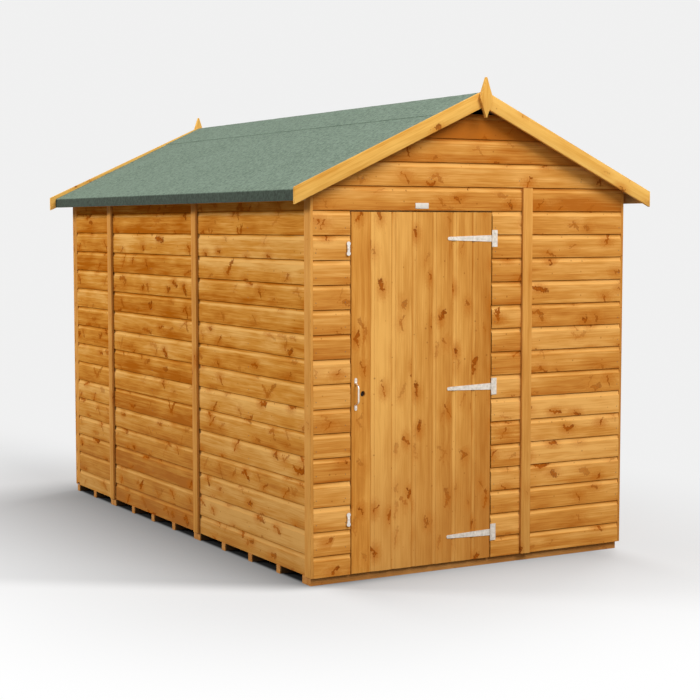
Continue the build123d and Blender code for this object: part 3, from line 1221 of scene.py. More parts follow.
@dataclass(frozen=True)
class Finishes:
    """All the finishes of the shed."""

    cladding: PineFinish = PineFinish("cladding pine", knot_size=1.25, lap_shade=0.6)
    side_cladding: PineFinish = PineFinish(
        "side cladding pine",
        pale=(0.76, 0.415, 0.118), middle=(0.59, 0.247, 0.036), deep=(0.40, 0.108, 0.005),
        knots=0.82, knot_size=1.6, slant=1.2, shade_range=0.6, ground_shade=0.42, sheen=0.0, lap_shade=0.6,
    )
    door: PineFinish = PineFinish(
        "door pine",
        pale=(0.78, 0.405, 0.100), middle=(0.605, 0.270, 0.052), deep=(0.43, 0.145, 0.017),
        lap_shade_colour=(0.30, 0.11, 0.012), ground_shade_colour=(0.43, 0.165, 0.033), knots=0.8, knot_size=1.2,
        slant=0.9, shade_range=0.6, cove_light_and_shade=0.5, ground_shade=0.4, lap_shade=0.8, figure=0.72,
    )
    lock_board: PineFinish = PineFinish(
        "lock board pine",
        pale=(0.78, 0.395, 0.090), middle=(0.60, 0.250, 0.042), deep=(0.43, 0.135, 0.013),
        knots=0.8, knot_size=1.35, slant=0.9, cove_light_and_shade=0.0, figure=0.8,
    )
    strip: PineFinish = PineFinish(
        "strip pine",
        pale=(0.70, 0.34, 0.080), middle=(0.585, 0.255, 0.050), deep=(0.46, 0.175, 0.027),
        knots=0.16, knot_size=0.7, shade_range=0.3, cove_light_and_shade=0.0,
    )
    barge: PineFinish = PineFinish(
        "barge pine",
        pale=(0.86, 0.515, 0.135), middle=(0.76, 0.418, 0.092), deep=(0.61, 0.275, 0.040),
        halo=(0.58, 0.21, 0.026), knot=(0.42, 0.13, 0.015), heart=(0.25, 0.07, 0.009),
        knots=0.55, shade_range=0.3, cove_light_and_shade=0.0,
    )
    frame_upright: PineFinish = PineFinish(
        "frame pine upright",
        pale=(0.62, 0.42, 0.20), middle=(0.54, 0.33, 0.13), deep=(0.42, 0.23, 0.08),
        knots=0.3, roughness=0.65, run=GrainRun.UPRIGHT,
    )
    frame_stained: PineFinish = replace(
        frame_upright, name="frame pine stained",
        pale=strip.pale, middle=strip.middle, deep=strip.deep,
    )
    frame_across: PineFinish = replace(
        frame_upright, name="frame pine across", run=GrainRun.ALONG_X
    )
    frame_along: PineFinish = replace(
        frame_upright, name="frame pine along", run=GrainRun.ALONG_Y
    )
    # The joist's heart colour also paints the shade on the joists' sides under the floor
    joist: PineFinish = PineFinish(
        "sawn joist",
        pale=(0.60, 0.30, 0.094), middle=(0.475, 0.205, 0.053), deep=(0.33, 0.12, 0.025),
        heart=(0.030, 0.020, 0.012), knots=0.3, under=0.88, roughness=0.75,
        run=GrainRun.ALONG_X,
    )
    strand: StrandBoardFinish = StrandBoardFinish("strand board")
    felt: FeltFinish = FeltFinish("green mineral felt")
    zinc: ZincFinish = ZincFinish("bright zinc")
    polished: ZincFinish = ZincFinish(
        "polished zinc", (0.80, 0.74, 0.665), (0.70, 0.645, 0.575), 0.36
    )
    lock: CoatFinish = CoatFinish(
        "lock enamel", (0.018, 0.014, 0.012), (0.035, 0.027, 0.022), 0.5, 0.12
    )
    plate: CoatFinish = CoatFinish(
        "bare plate", (0.68, 0.625, 0.545), (0.62, 0.565, 0.49), 0.5
    )
    nail: CoatFinish = CoatFinish("nail steel", (0.16, 0.09, 0.045), (0.09, 0.05, 0.028), 0.5)


@dataclass(frozen=True)
class ShedPlan:
    """The shed's own sizes, which several sub-assemblies share."""

    half_width: float = 0.875
    half_length: float = 1.54575
    wall: float = 0.052
    end_joint: float = 0.293
    side_panels: tuple[float, ...] = (1.222, 1.191, 0.5745)
    panel_gap: float = 0.002
    bottom: float = 0.038
    head: float = 1.815
    wall_top: float = 1.8283
    pitch: float = math.radians(25.3)
    course: float = 0.112
    doorway_left: float = -0.683
    doorway_right: float = 0.096
    roof_reach: float = 1.59675

    @property
    def rise(self) -> float:
        """How far the roof rises for each metre towards the ridge."""
        return math.tan(self.pitch)

    @property
    def door_head(self) -> float:
        """The level of the board over the door."""
        return self.head - self.course

    @property
    def end_edges(self) -> tuple[float, float]:
        """The panels' edges on both sides of the joint in the end walls."""
        return self.end_joint - self.panel_gap / 2, self.end_joint + self.panel_gap / 2

    def roof_level(self, x: float, layers: float = 0) -> float:
        """Finds the height, at X, of a layer that lies that far over the walls."""
        eaves = self.wall_top + layers / math.cos(self.pitch)
        return eaves + (self.half_width - abs(x)) * self.rise

    def side_joints(self) -> list[float]:
        """Finds the panel joints of a long wall, from the front to the rear."""
        start = -self.half_length + self.wall
        return [start + sum(self.side_panels[:count]) for count in range(1, len(self.side_panels))]

    def side_spans(self) -> list[tuple[float, float]]:
        """Finds the stretches of a long wall's panels, from the front to the rear.

        Returns:
            The near and far end of each.
        """
        half = self.panel_gap / 2
        end = self.half_length - self.wall
        joints = self.side_joints()
        nears = [-end, *(joint + half for joint in joints)]
        fars = [*(joint - half for joint in joints), end]
        return list(zip(nears, fars))

    def stand(self, piece: Piece, facing: Facing, start: float = 0) -> None:
        """Turns a piece made on the front's plane to its wall and sets it there.

        Args:
            piece: The piece, with its face on Y zero.
            facing: The wall's facing.
            start: Where its X zero comes on the wall's line, seen from outside.
        """
        places = {
            Facing.FRONT: (start, -self.half_length, 0),
            Facing.REAR: (-start, self.half_length, 0),
            Facing.LEFT: (-self.half_width, -start, 0),
            Facing.RIGHT: (self.half_width, start, 0),
        }
        Bench.turn(piece, (0, 0, math.radians(facing.value)), places[facing])


@dataclass
class CovedBoard:
    """A cladding board: a flat face, a cove along its top, a lap for the next board and a lip."""

    pitch: float = 0.112
    thickness: float = 0.012
    lip: float = 0.0065
    lap: float = 0.0062
    lap_height: float = 0.013
    gap: float = 0.0024
    cove: float = 0.0215
    cove_depth: float = 0.0058
    cove_steps: int = 6
    hollow: float = 0.086
    arris: float = 0.0014

    def blank(self, name: str, length: float) -> Piece:
        """Shapes the board from a sawn blank.

        Args:
            name: The board's name.
            length: Its length.

        Returns:
            The board along X, with its face on Y zero and its course line on Z zero.
        """
        stretch = self.cove / self.cove_depth
        rebate = self.lap_height + self.arris
        board = Bench.block(name, (0, 0, rebate), (length, self.thickness * stretch, self.pitch))
        Bench.score(board, (0, self.lap * stretch, 0), (0, 1, 0))
        Bench.score(board, (0, self.lip * stretch, 0), (0, 1, 0))
        Bench.extrude(
            board, lambda at, way: way.z > 0.9 and at.y > self.lap * stretch,
            (0, 0, self.lap_height),
        )
        Bench.extrude(
            board, lambda at, way: way.z < -0.9 and at.y < self.lip * stretch,
            (0, 0, self.gap - rebate),
        )
        Bench.ease(
            board,
            lambda at, way: abs(at.y) < NEAR and abs(at.z - self.pitch) < NEAR and abs(way.x) > 0.9,
            self.cove, self.cove_steps, self.hollow,
        )
        Bench.ease(
            board,
            lambda at, way: abs(at.y) < NEAR and abs(at.z - self.gap) < NEAR and abs(way.x) > 0.9,
            self.arris, 2,
        )
        board.scale = (1, 1 / stretch, 1)
        Bench.settle(board)
        return board

    def row(
        self, name: str, length: float, courses: int, first: float, seed: int, shade: float = 0.5,
        last: Sequence[float] = (),
    ) -> Piece:
        """Lays boards one over the other.

        Args:
            name: The row's name.
            length: The boards' length.
            courses: The number of boards.
            first: The height of the lowest course line.
            seed: Picks the boards' figure.
            shade: The boards' mean shade, from 0 for pale to 1 for deep.
            last: How much deeper each of the top boards is, up to the highest, as painted shade
                under the roof's edge.

        Returns:
            The row along X from zero, with its face on Y zero.
        """
        made = self.blank(name, length)
        made.location = (0, 0, first)
        Bench.settle(made)
        Bench.repeat(made, courses, (0, 0, self.pitch))
        Bench.mark_grain(made, "xzy", courses, seed, shade, last)
        return made


@dataclass
class BoardedWalls:
    """The walls' cladding: coved boards that lap one over the other on every panel."""

    end_finish: PineFinish
    side_finish: PineFinish
    plan: ShedPlan
    board: CovedBoard
    gable_top: float = 2.1559
    side_shades: tuple[float, ...] = (0.22, 0.65, 0.5)
    # Painted shade on the top boards under the eaves, for each long wall's panel
    eaves_painted_shade: tuple[float, ...] = (0.2, 0.6, 0.4)
    # Painted shade on the narrow front panel's top board under the roof's edge; the board below it
    # is made paler
    narrow_top_painted_shade: tuple[float, ...] = (-0.3, 0.45)
    gable_shade: float = 0.1
    # Painted shade on the gable's top boards under the barge boards and the apex
    apex_painted_shade: tuple[float, ...] = (0.2, 1.9, 1.9)
    over_door_shade: float = 0.85
    latch_shade: float = 0.5
    hinge_shade: float = 0.25
    narrow_shade: float = 0.22
    sharpest: float = 20

    def upright_panel(
        self, name: str, facing: Facing, span: tuple[float, float], top: float, seed: int,
        shade: float = 0.5, slope: bool = False, last: Sequence[float] = (),
    ) -> Piece:
        """Makes a panel from the cladding's bottom to a level and stands it on its wall.

        Args:
            name: The panel's name.
            facing: The wall's facing.
            span: Its two ends on the wall's line, seen from outside.
            top: The level of its highest course line.
            seed: Picks the boards' figure.
            shade: The boards' mean shade.
            slope: Whether one more board goes on and is sawn to the roof.
            last: How much deeper each of the top boards is, up to the highest, as painted shade
                under the roof's edge.

        Returns:
            The panel in its place.
        """
        plan = self.plan
        courses = math.ceil((top - plan.bottom) / plan.course - NEAR)
        first = top - courses * plan.course
        made = self.board.row(name, span[1] - span[0], courses + slope, first, seed, shade, last)
        Bench.trim(made, (0, 0, plan.bottom), (0, 0, -1))
        if slope:
            Bench.trim(made, (0, 0, plan.wall_top), (0, -plan.rise, 1))
        plan.stand(made, facing, span[0])
        return made

    def gable(self, name: str, facing: Facing, seed: int) -> Piece:
        """Makes the boards of a gable, sawn to both slopes and flat under the ridge.

        Args:
            name: The gable's name.
            facing: The gable's facing.
            seed: Picks the boards' figure.

        Returns:
            The gable in its place.
        """
        plan = self.plan
        courses = math.ceil((self.gable_top - plan.head) / plan.course)
        # The top boards carry painted shade under the apex
        made = self.board.row(
            name, 2 * plan.half_width, courses, plan.head, seed, self.gable_shade, self.apex_painted_shade
        )
        Bench.trim(made, (0, 0, self.gable_top), (0, 0, 1))
        Bench.trim(made, (0, 0, plan.wall_top), (-plan.rise, 0, 1))
        Bench.trim(made, (2 * plan.half_width, 0, plan.wall_top), (plan.rise, 0, 1))
        plan.stand(made, facing, -plan.half_width)
        return made

    def deliver(self, piece: Piece, finish: PineFinish, node: str) -> None:
        """Finishes a run of cladding that stands for a node."""
        Bench.smooth(piece, self.sharpest)
        Bench.hand_over(piece, Body.SHED, finish, "cladding", (node,))

    def build_front(self) -> None:
        """Clads the door's wall round the doorway, and its gable."""
        plan = self.plan
        near, far = plan.end_edges
        left, right = -plan.half_width, plan.half_width
        # The last entry of each row is the painted shade on the panel's top boards
        for name, node, span, top, seed, shade, top_painted_shade in (
            ("latch", "latch_side", (left, plan.doorway_left), plan.door_head, 11,
             self.latch_shade, ()),
            ("hinge", "hinge_side", (plan.doorway_right, near), plan.door_head, 12,
             self.hinge_shade, ()),
            ("narrow", "narrow", (far, right), plan.head, 14, self.narrow_shade, self.narrow_top_painted_shade),
        ):
            made = self.upright_panel(
                f"front_{name}_boards", Facing.FRONT, span, top, seed, shade, last=top_painted_shade
            )
            self.deliver(made, self.end_finish, f"front_cladding_{node}")
        over = self.board.row(
            "front_board_over_door", near - left, 1, plan.door_head, 13, self.over_door_shade
        )
        plan.stand(over, Facing.FRONT, left)
        self.deliver(over, self.end_finish, "front_cladding_over_door")
        gable = self.gable("front_gable_boards", Facing.FRONT, 15)
        self.deliver(gable, self.end_finish, "front_gable")

    def build_rear(self) -> None:
        """Clads the plain rear wall and its gable."""
        plan = self.plan
        near, far = plan.end_edges
        panels = [
            self.upright_panel(name, Facing.REAR, span, plan.head, seed)
            for name, span, seed in (
                ("rear_boards", (-near, plan.half_width), 21),
                ("rear_boards_narrow", (-plan.half_width, -far), 22),
            )
        ]
        self.deliver(Bench.join("rear_boards", panels), self.end_finish, "rear_cladding")
        gable = self.gable("rear_gable_boards", Facing.REAR, 25)
        self.deliver(gable, self.end_finish, "rear_gable")

    def build_sides(self) -> None:
        """Clads both long walls."""
        for facing, name, seed in ((Facing.LEFT, "left", 31), (Facing.RIGHT, "right", 41)):
            panels = []
            for number, (start, end) in enumerate(self.plan.side_spans()):
                span = (-end, -start) if facing is Facing.LEFT else (start, end)
                # The top three boards carry painted shade under the eaves
                panels.append(self.upright_panel(
                    f"{name}_boards_{number}", facing, span, self.plan.head, seed + number,
                    self.side_shades[number], slope=True, last=(self.eaves_painted_shade[number],) * 3,
                ))
            made = Bench.join(f"{name}_boards", panels)
            self.deliver(made, self.side_finish, f"{name}_cladding")

    def build(self) -> None:
        """Clads the four walls and both gables."""
        self.build_front()
        self.build_rear()
        self.build_sides()


@dataclass
class Door:
    """The door's leaf: a plain lock board with its keyhole and upright coved boards."""

    finish: PineFinish
    plain_finish: PineFinish
    plan: ShedPlan
    board: CovedBoard
    left: float = -0.678
    right: float = 0.091
    top: float = 1.698
    lock_board: float = 0.1025
    last_joint: float = -0.0191
    boards: int = 6
    keyhole: tuple[float, float] = (-0.617, 0.868)
    keyhole_radius: float = 0.013
    shade: float = 0.35
    plain_shade: float = 0.65
    sharpest: float = 20

    def upright_boards(self) -> Piece:
        """Lays the coved boards upright, with their coves to the left.

        Returns:
            The boards in their place.
        """
        first = -self.last_joint - self.board.pitch
        bottom = self.plan.bottom
        made = self.board.row(
            "door_coved_boards", self.top - bottom, self.boards, first, 51, self.shade
        )
        Bench.turn(made, (0, -math.pi / 2, 0), (0, -self.plan.half_length, bottom))
        Bench.trim(made, (self.right, 0, 0), (1, 0, 0))
        Bench.trim(made, (self.left + self.lock_board - self.board.gap + NEAR, 0, 0), (-1, 0, 0))
        return made

    def plain_board(self) -> Piece:
        """Makes the lock board and drills its keyhole.

        Returns:
            The board in its place.
        """
        face = -self.plan.half_length
        made = Bench.block(
            "door_plain_board", (self.left, face, self.plan.bottom),
            (self.left + self.lock_board - self.board.gap, face + self.board.thickness, self.top),
        )
        Bench.soften(made, self.board.arris)
        foot = (self.keyhole[0], face + 2 * self.board.thickness, self.keyhole[1])
        bit = Bench.rod("keyhole_bit", self.keyhole_radius, foot, 3 * self.board.thickness, 32)
        Bench.drill(made, bit)
        Bench.mark_grain(made, "zxy", 1, 57, self.plain_shade)
        return made

    def build(self) -> None:
        """Makes both runs of boards and hangs them on the door's body."""
        for made, finish, node in (
            (self.upright_boards(), self.finish, "door_boards"),
            (self.plain_board(), self.plain_finish, "door_lock_board"),
        ):
            Bench.smooth(made, self.sharpest)
            Bench.hand_over(made, Body.DOOR, finish, "door_board", (node,))


@dataclass
class CoverStrips:
    """Planed strips over the panel joints and the corners."""

    finish: PineFinish
    plan: ShedPlan
    proud: float = 0.014
    width: float = 0.055
    corner_width: float = 0.061
    arris: float = 0.0018
    shade: float = 0.25
    front_shade: float = -0.1
    # The right wall's strips are made deeper, as painted shade
    right_painted_shade: float = 1.3

    def strip(
        self, name: str, facing: Facing, span: tuple[float, float], top: float, seed: int
    ) -> Piece:
        """Planes one upright strip and stands it on its wall.

        Args:
            name: The strip's name.
            facing: The wall's facing.
            span: Its two edges on the wall's line, seen from outside.
            top: The level of its top, before it is sawn to the roof.
            seed: Picks its figure.

        Returns:
            The strip in its place.
        """
        plan = self.plan
        # The right wall's strips carry painted shade
        shades = {Facing.FRONT: self.front_shade, Facing.RIGHT: self.right_painted_shade}
        made = Bench.block(name, (span[0], -self.proud, plan.bottom), (span[1], 0, top))
        Bench.mark_grain(made, "zxy", 1, seed, shades.get(facing, self.shade))
        plan.stand(made, facing)
        for side in (-1, 1):
            Bench.trim(made, (side * plan.half_width, 0, plan.wall_top), (side * plan.rise, 0, 1))
        Bench.soften(made, self.arris)
        Bench.smooth(made)
        return made

    def over(self, middle: float) -> tuple[float, float]:
        """Finds the two edges of the strip over a joint."""
        return middle - self.width / 2, middle + self.width / 2

    def build(self) -> None:
        """Makes the strips of the four walls."""
        plan = self.plan
        front = self.strip("front_strip", Facing.FRONT, self.over(plan.end_joint), plan.head, 61)
        Bench.hand_over(front, Body.SHED, self.finish, "strip", ("front_cover_strip",))

        edge, inner = plan.half_width, plan.half_width - self.corner_width
        high = plan.roof_level(inner)
        rear = Bench.join("rear_strips", [
            self.strip("rear_strips", Facing.REAR, self.over(-plan.end_joint), plan.head, 62),
            self.strip("rear_strip_right", Facing.REAR, (-edge, -inner), high, 63),
            self.strip("rear_strip_left", Facing.REAR, (inner, edge), high, 64),
        ])
        Bench.hand_over(rear, Body.SHED, self.finish, "strip", ("rear_cover_strip",))

        front_edge = -plan.half_length
        corner = (front_edge, front_edge + self.corner_width)
        for facing, name, seed in ((Facing.LEFT, "left", 65), (Facing.RIGHT, "right", 68)):
            spans = [corner, *map(self.over, plan.side_joints())]
            if facing is Facing.LEFT:
                spans = [(-far, -near) for near, far in spans]
            strips = [
                self.strip(f"{name}_strips_{number}", facing, span, plan.wall_top, seed + number)
                for number, span in enumerate(spans)
            ]
            made = Bench.join(f"{name}_strips", strips)
            Bench.hand_over(made, Body.SHED, self.finish, "strip", (f"{name}_cover_strips",))


@dataclass
class GableTrim:
    """Barge boards and the pointed finial over their mitre at each gable."""

    finish: PineFinish
    plan: ShedPlan
    thickness: float = 0.016
    height: float = 0.069
    pitch: float = math.radians(24.65)
    apex: float = 2.26454
    end: float = 1.002
    finial_thickness: float = 0.018
    finial_width: float = 0.072
    finial_tip: float = 0.004
    finial_top: float = 2.32454
    finial_height: float = 0.188
    finial_widest: float = 2.22654
    arris: float = 0.0018
    shade: float = 0.5
    right_deeper: float = 0.25

    def barge(self, name: str, outward: float, side: float, seed: int) -> Piece:
        """Saws one barge board plumb at the ridge and at its foot.

        Args:
            name: The board's name.
            outward: -1 for the front gable, 1 for the rear.
            side: -1 for the left slope, 1 for the right.
            seed: Picks its figure.

        Returns:
            The board in its place.
        """
        reach = self.plan.roof_reach
        length = self.end / math.cos(self.pitch)
        run = sorted((-side * self.height, side * (length + self.height)))
        depth = sorted((outward * reach, outward * (reach + self.thickness)))
        made = Bench.block(name, (run[0], depth[0], -self.height), (run[1], depth[1], 0))
        Bench.mark_grain(made, "xzy", 1, seed, self.shade + self.right_deeper * side)
        Bench.turn(made, (0, side * self.pitch, 0), (0, 0, self.apex))
        Bench.trim(made, (side * NEAR, 0, 0), (-side, 0, 0))
        Bench.trim(made, (side * self.end, 0, 0), (side, 0, 0))
        Bench.soften(made, self.arris)
        Bench.smooth(made)
        return made

    def finial(self, name: str, outward: float, seed: int) -> Piece:
        """Saws the pointed finial from a short board.

        Args:
            name: The finial's name.
            outward: -1 for the front gable, 1 for the rear.
            seed: Picks its figure.

        Returns:
            The finial in its place.
        """
        back = self.plan.roof_reach + self.thickness
        depth = sorted((outward * back, outward * (back + self.finial_thickness)))
        half = self.finial_width / 2
        bottom = self.finial_top - self.finial_height
        made = Bench.block(name, (-half, depth[0], bottom), (half, depth[1], self.finial_top))
        Bench.score(made, (0, 0, self.finial_widest), (0, 0, 1))
        share = (self.finial_tip / self.finial_width, 1, 1)
        Bench.narrow(made, lambda at, way: abs(at.z - self.finial_widest) > NEAR, share, (0, 0, 0))
        Bench.soften(made, self.arris)
        Bench.mark_grain(made, "zxy", 1, seed, self.shade)
        Bench.smooth(made)
        return made

    def build(self) -> None:
        """Trims both gables."""
        for outward, gable, seed in ((-1, "front", 71), (1, "rear", 81)):
            for side, hand in ((-1, "left"), (1, "right")):
                made = self.barge(f"{gable}_{hand}_barge_board", outward, side, seed + side)
                Bench.hand_over(made, Body.SHED, self.finish, "barge", (f"{gable}_barge_{hand}",))
            made = self.finial(f"{gable}_pointed_finial", outward, seed + 5)
            Bench.hand_over(made, Body.SHED, self.finish, "barge", (f"{gable}_finial",))


@dataclass
class FeltRoof:
    """Sheets of felt folded down at the eaves, with a cap lapped over the ridge."""

    finish: FeltFinish
    plan: ShedPlan
    board: float = 0.011
    felt: float = 0.002
    edge: float = 0.9685
    fold_drop: float = 0.038
    cap: float = 0.235
    roll: float = 0.006
    uneven: float = 0.0005
    faces_along: int = 56
    left_faces: int = 20
    right_faces: int = 21
    cap_faces: int = 10
    edge_band: float = 0.002
    fold_blur: float = 0.004
    sharpest: float = 60

    def grid(self, name: str, low: float, high: float, across: int) -> Piece:
        """Rolls out a flat sheet along the whole ridge.

        Args:
            name: The sheet's name.
            low: Its near edge on X.
            high: Its far edge on X.
            across: The number of its faces on X.

        Returns:
            The sheet at Z zero, a little uneven.
        """
        Bench.clear()
        bpy.ops.mesh.primitive_grid_add(
            x_subdivisions=across, y_subdivisions=self.faces_along, size=1,
            location=((low + high) / 2, 0, 0),
        )
        made = Bench.named(name)
        made.scale = (high - low, 2 * self.plan.roof_reach, 1)
        Bench.settle(made)
        with Bench.editing(made):
            bpy.ops.mesh.select_all(action="SELECT")
            bpy.ops.transform.vertex_random(offset=self.uneven, uniform=0, normal=1, seed=across)
        return made

    def thicken(self, piece: Piece) -> None:
        """Turns a sheet's faces up and gives it its thickness below them.

        Args:
            piece: The sheet.
        """
        with Bench.editing(piece):
            bpy.ops.mesh.select_all(action="SELECT")
            bpy.ops.mesh.normals_make_consistent(inside=False)
        if sum(face.normal.z * face.area for face in piece.data.polygons) < 0:
            with Bench.editing(piece):
                bpy.ops.mesh.select_all(action="SELECT")
                bpy.ops.mesh.flip_normals()
        wall = piece.modifiers.new("felt", "SOLIDIFY")
        wall.thickness = self.felt
        wall.offset = -1
        Bench.apply(piece, wall.name)
        Bench.smooth(piece, self.sharpest)

    def sheet(self, name: str, side: float) -> Piece:
        """Lays a sheet on one slope and folds its edge down over the eaves.

        Args:
            name: The sheet's name.
            side: -1 for the left slope, 1 for the right.

        Returns:
            The sheet in its place.
        """
        plan = self.plan
        outer = self.edge + self.felt
        layers = self.board + self.felt
        corner = plan.roof_level(outer, layers)
        low, high = sorted((0, side * outer / math.cos(plan.pitch)))
        made = self.grid(name, low, high, self.left_faces if side < 0 else self.right_faces)
        Bench.turn(made, (0, side * plan.pitch, 0), (0, 0, plan.roof_level(0, layers)))
        foot = plan.roof_level(self.edge) - self.fold_drop
        rim = outer - self.edge_band
        with Bench.editing(made):
            Bench.pick(made, Part.EDGES, lambda at, way: abs(at.x) > rim and abs(way.y) > 0.9)
            bpy.ops.mesh.extrude_region_move(
                TRANSFORM_OT_translate={"value": (0, 0, foot - corner)}
            )
        Bench.ease(
            made,
            lambda at, way: abs(at.x) > rim and at.z > corner - 0.01 and abs(way.y) > 0.9,
            self.roll, 4,
        )
        self.thicken(made)
        heights = Bench.corners(made)[:, 2]
        Bench.mark(made, "fold", np.clip((corner - heights) / self.fold_blur, 0, 1))
        return made

    def ridge_cap(self, name: str) -> Piece:
        """Folds the cap over the ridge.

        Args:
            name: The cap's name.

        Returns:
            The cap in its place.
        """
        layers = self.board + 2 * self.felt
        made = self.grid(name, -self.cap, self.cap, self.cap_faces)
        for row in sorted({round(corner.co.x, 4) for corner in made.data.vertices}):
            with Bench.editing(made):
                Bench.pick(made, Part.CORNERS, lambda at, way: abs(at.x - row) < 0.001)
                bpy.ops.transform.translate(value=(0, 0, self.plan.roof_level(row, layers)))
        Bench.ease(made, lambda at, way: abs(at.x) < 0.001 and abs(way.y) > 0.9, self.roll, 3)
        self.thicken(made)
        Bench.mark(made, "fold", np.zeros(len(made.data.vertices)))
        return made

    def build(self) -> None:
        """Felts both slopes and the ridge."""
        for made, node in (
            (self.sheet("felt_left_slope", -1), "left_felt"),
            (self.sheet("felt_right_slope", 1), "right_felt"),
            (self.ridge_cap("felt_ridge_cap"), "ridge_felt"),
        ):
            Bench.hand_over(made, Body.SHED, self.finish, "roof_felt", (node,))


@dataclass
class Ironmongery:
    """Screws of the hinges and the handle, the walls' nails and the bare plate over the door."""

    zinc: ZincFinish
    nail_finish: CoatFinish
    plate_finish: CoatFinish
    plan: ShedPlan
    leaf: float = 0.0025
    screw_radius: float = 0.0042
    screw_height: float = 0.0016
    hinge_levels: tuple[float, ...] = (0.161, 0.868, 1.575)
    strap_screws: tuple[float, ...] = (0.070, 0.006, -0.062, -0.135)
    plate_screw_x: float = 0.1105
    plate_screw_rise: float = 0.027
    handle_x: float = -0.656
    handle_screw_rise: float = 0.0655
    pad: float = 0.003
    nail_radius: float = 0.0023
    nail_height: float = 0.0007
    nail_rise: float = 0.034
    courses: int = 15
    front_studs: tuple[float, ...] = (-0.861, -0.709, 0.113, 0.861)
    gable_studs: tuple[float, ...] = (-0.62, -0.25, 0.25, 0.62)
    rear_studs: tuple[float, ...] = (-0.72, 0.28, 0.62)
    side_studs: tuple[float, ...] = (-1.4785, -0.8833, 0.3238, 1.4798)
    plate_low: tuple[float, float] = (-0.3380, 1.7138)
    plate_high: tuple[float, float] = (-0.2660, 1.7402)
    plate_thickness: float = 0.002
    plate_corner: float = 0.0025
    plate_arris: float = 0.0005

    def screw(self) -> Piece:
        """Turns one round-headed screw that stands on Y zero.

        Returns:
            The screw.
        """
        made = Bench.rod("screw", self.screw_radius, (0, 0, 0), self.screw_height, 16)
        front = -self.screw_height
        Bench.ease(made, lambda at, way: abs(at.y - front) < NEAR, self.screw_height * 0.6, 2)
        with Bench.editing(made):
            Bench.pick(made, Part.FACES, lambda at, way: way.y < -0.99)
            bpy.ops.mesh.inset(thickness=self.screw_radius * 0.25, depth=0)
            bpy.ops.mesh.extrude_region_move(
                TRANSFORM_OT_translate={"value": (0, self.screw_height * 0.5, 0)}
            )
        return made

    def set_screws(self, name: str, places: Sequence[Place], body: Body) -> None:
        """Sets copies of the screw.

        Args:
            name: The name of the joined screws.
            places: Where they stand.
            body: The body that they ride on.
        """
        first = self.screw()
        copies = [
            Bench.copy(first, f"{name}_{number}", place) for number, place in enumerate(places)
        ]
        bpy.data.objects.remove(first)
        made = Bench.join(name, copies)
        Bench.smooth(made)
        Bench.hand_over(made, body, self.zinc, "zinc_steel")

    def nail_row(
        self, name: str, facing: Facing, columns: Sequence[float], courses: tuple[int, int]
    ) -> Piece:
        """Drives a wall's nails, one through each board at each stud.

        Args:
            name: The row's name.
            facing: The wall's facing.
            columns: The studs' places on the wall's line, seen from outside.
            courses: The first course, counted down from the panels' head, and their number.

        Returns:
            The nails in their place.
        """
        plan = self.plan
        lowest = plan.head - courses[0] * plan.course + self.nail_rise
        nail = Bench.rod(name, self.nail_radius, (0, 0, lowest), self.nail_height, 8)
        front = -self.nail_height
        Bench.ease(nail, lambda at, way: at.y < front + NEAR, self.nail_height * 0.5, 1)
        Bench.repeat(nail, courses[1], (0, 0, plan.course))
        rows = [
            Bench.copy(nail, f"{name}_{number}", (x, 0, 0)) for number, x in enumerate(columns)
        ]
        bpy.data.objects.remove(nail)
        made = Bench.join(name, rows)
        plan.stand(made, facing)
        return made

    def drive_nails(self) -> None:
        """Nails the cladding of the four walls."""
        whole = (self.courses, self.courses)
        parts = [
            self.nail_row(f"{name}_nails", facing, columns, courses)
            for name, facing, columns, courses in (
                ("front", Facing.FRONT, self.front_studs, (self.courses, self.courses - 1)),
                ("gable", Facing.FRONT, self.gable_studs, (0, 1)),
                ("rear", Facing.REAR, self.rear_studs, whole),
                ("left", Facing.LEFT, [-y for y in self.side_studs], whole),
                ("right", Facing.RIGHT, self.side_studs, whole),
            )
        ]
        made = Bench.join("cladding_nails", parts)
        Bench.smooth(made)
        Bench.hand_over(made, Body.SHED, self.nail_finish, "zinc_steel")

    def bare_plate(self) -> None:
        """Makes the small bare plate on the board over the door."""
        low, high, face = self.plate_low, self.plate_high, -self.plan.half_length
        made = Bench.block(
            "bare_plate", (low[0], face - self.plate_thickness, low[1]), (high[0], face, high[1])
        )
        Bench.ease(made, lambda at, way: abs(way.y) > 0.9, self.plate_corner, 4)
        Bench.soften(made, self.plate_arris)
        Bench.smooth(made)
        Bench.hand_over(made, Body.SHED, self.plate_finish, "lock_case")

    def build(self) -> None:
        """Sets the screws, the nails and the plate."""
        face = -self.plan.half_length
        proud = face - self.leaf
        straps = [(x, proud, level) for level in self.hinge_levels for x in self.strap_screws]
        plates = [
            (self.plate_screw_x, proud, level + step * self.plate_screw_rise)
            for level in self.hinge_levels for step in (-1, 0, 1)
        ]
        middle = self.hinge_levels[1]
        handle = [
            (self.handle_x, face - self.pad, middle + rise)
            for rise in (-self.handle_screw_rise, self.handle_screw_rise)
        ]
        self.set_screws("strap_and_handle_screws", straps + handle, Body.DOOR)
        self.set_screws("hinge_plate_screws", plates, Body.SHED)
        self.drive_nails()
        self.bare_plate()


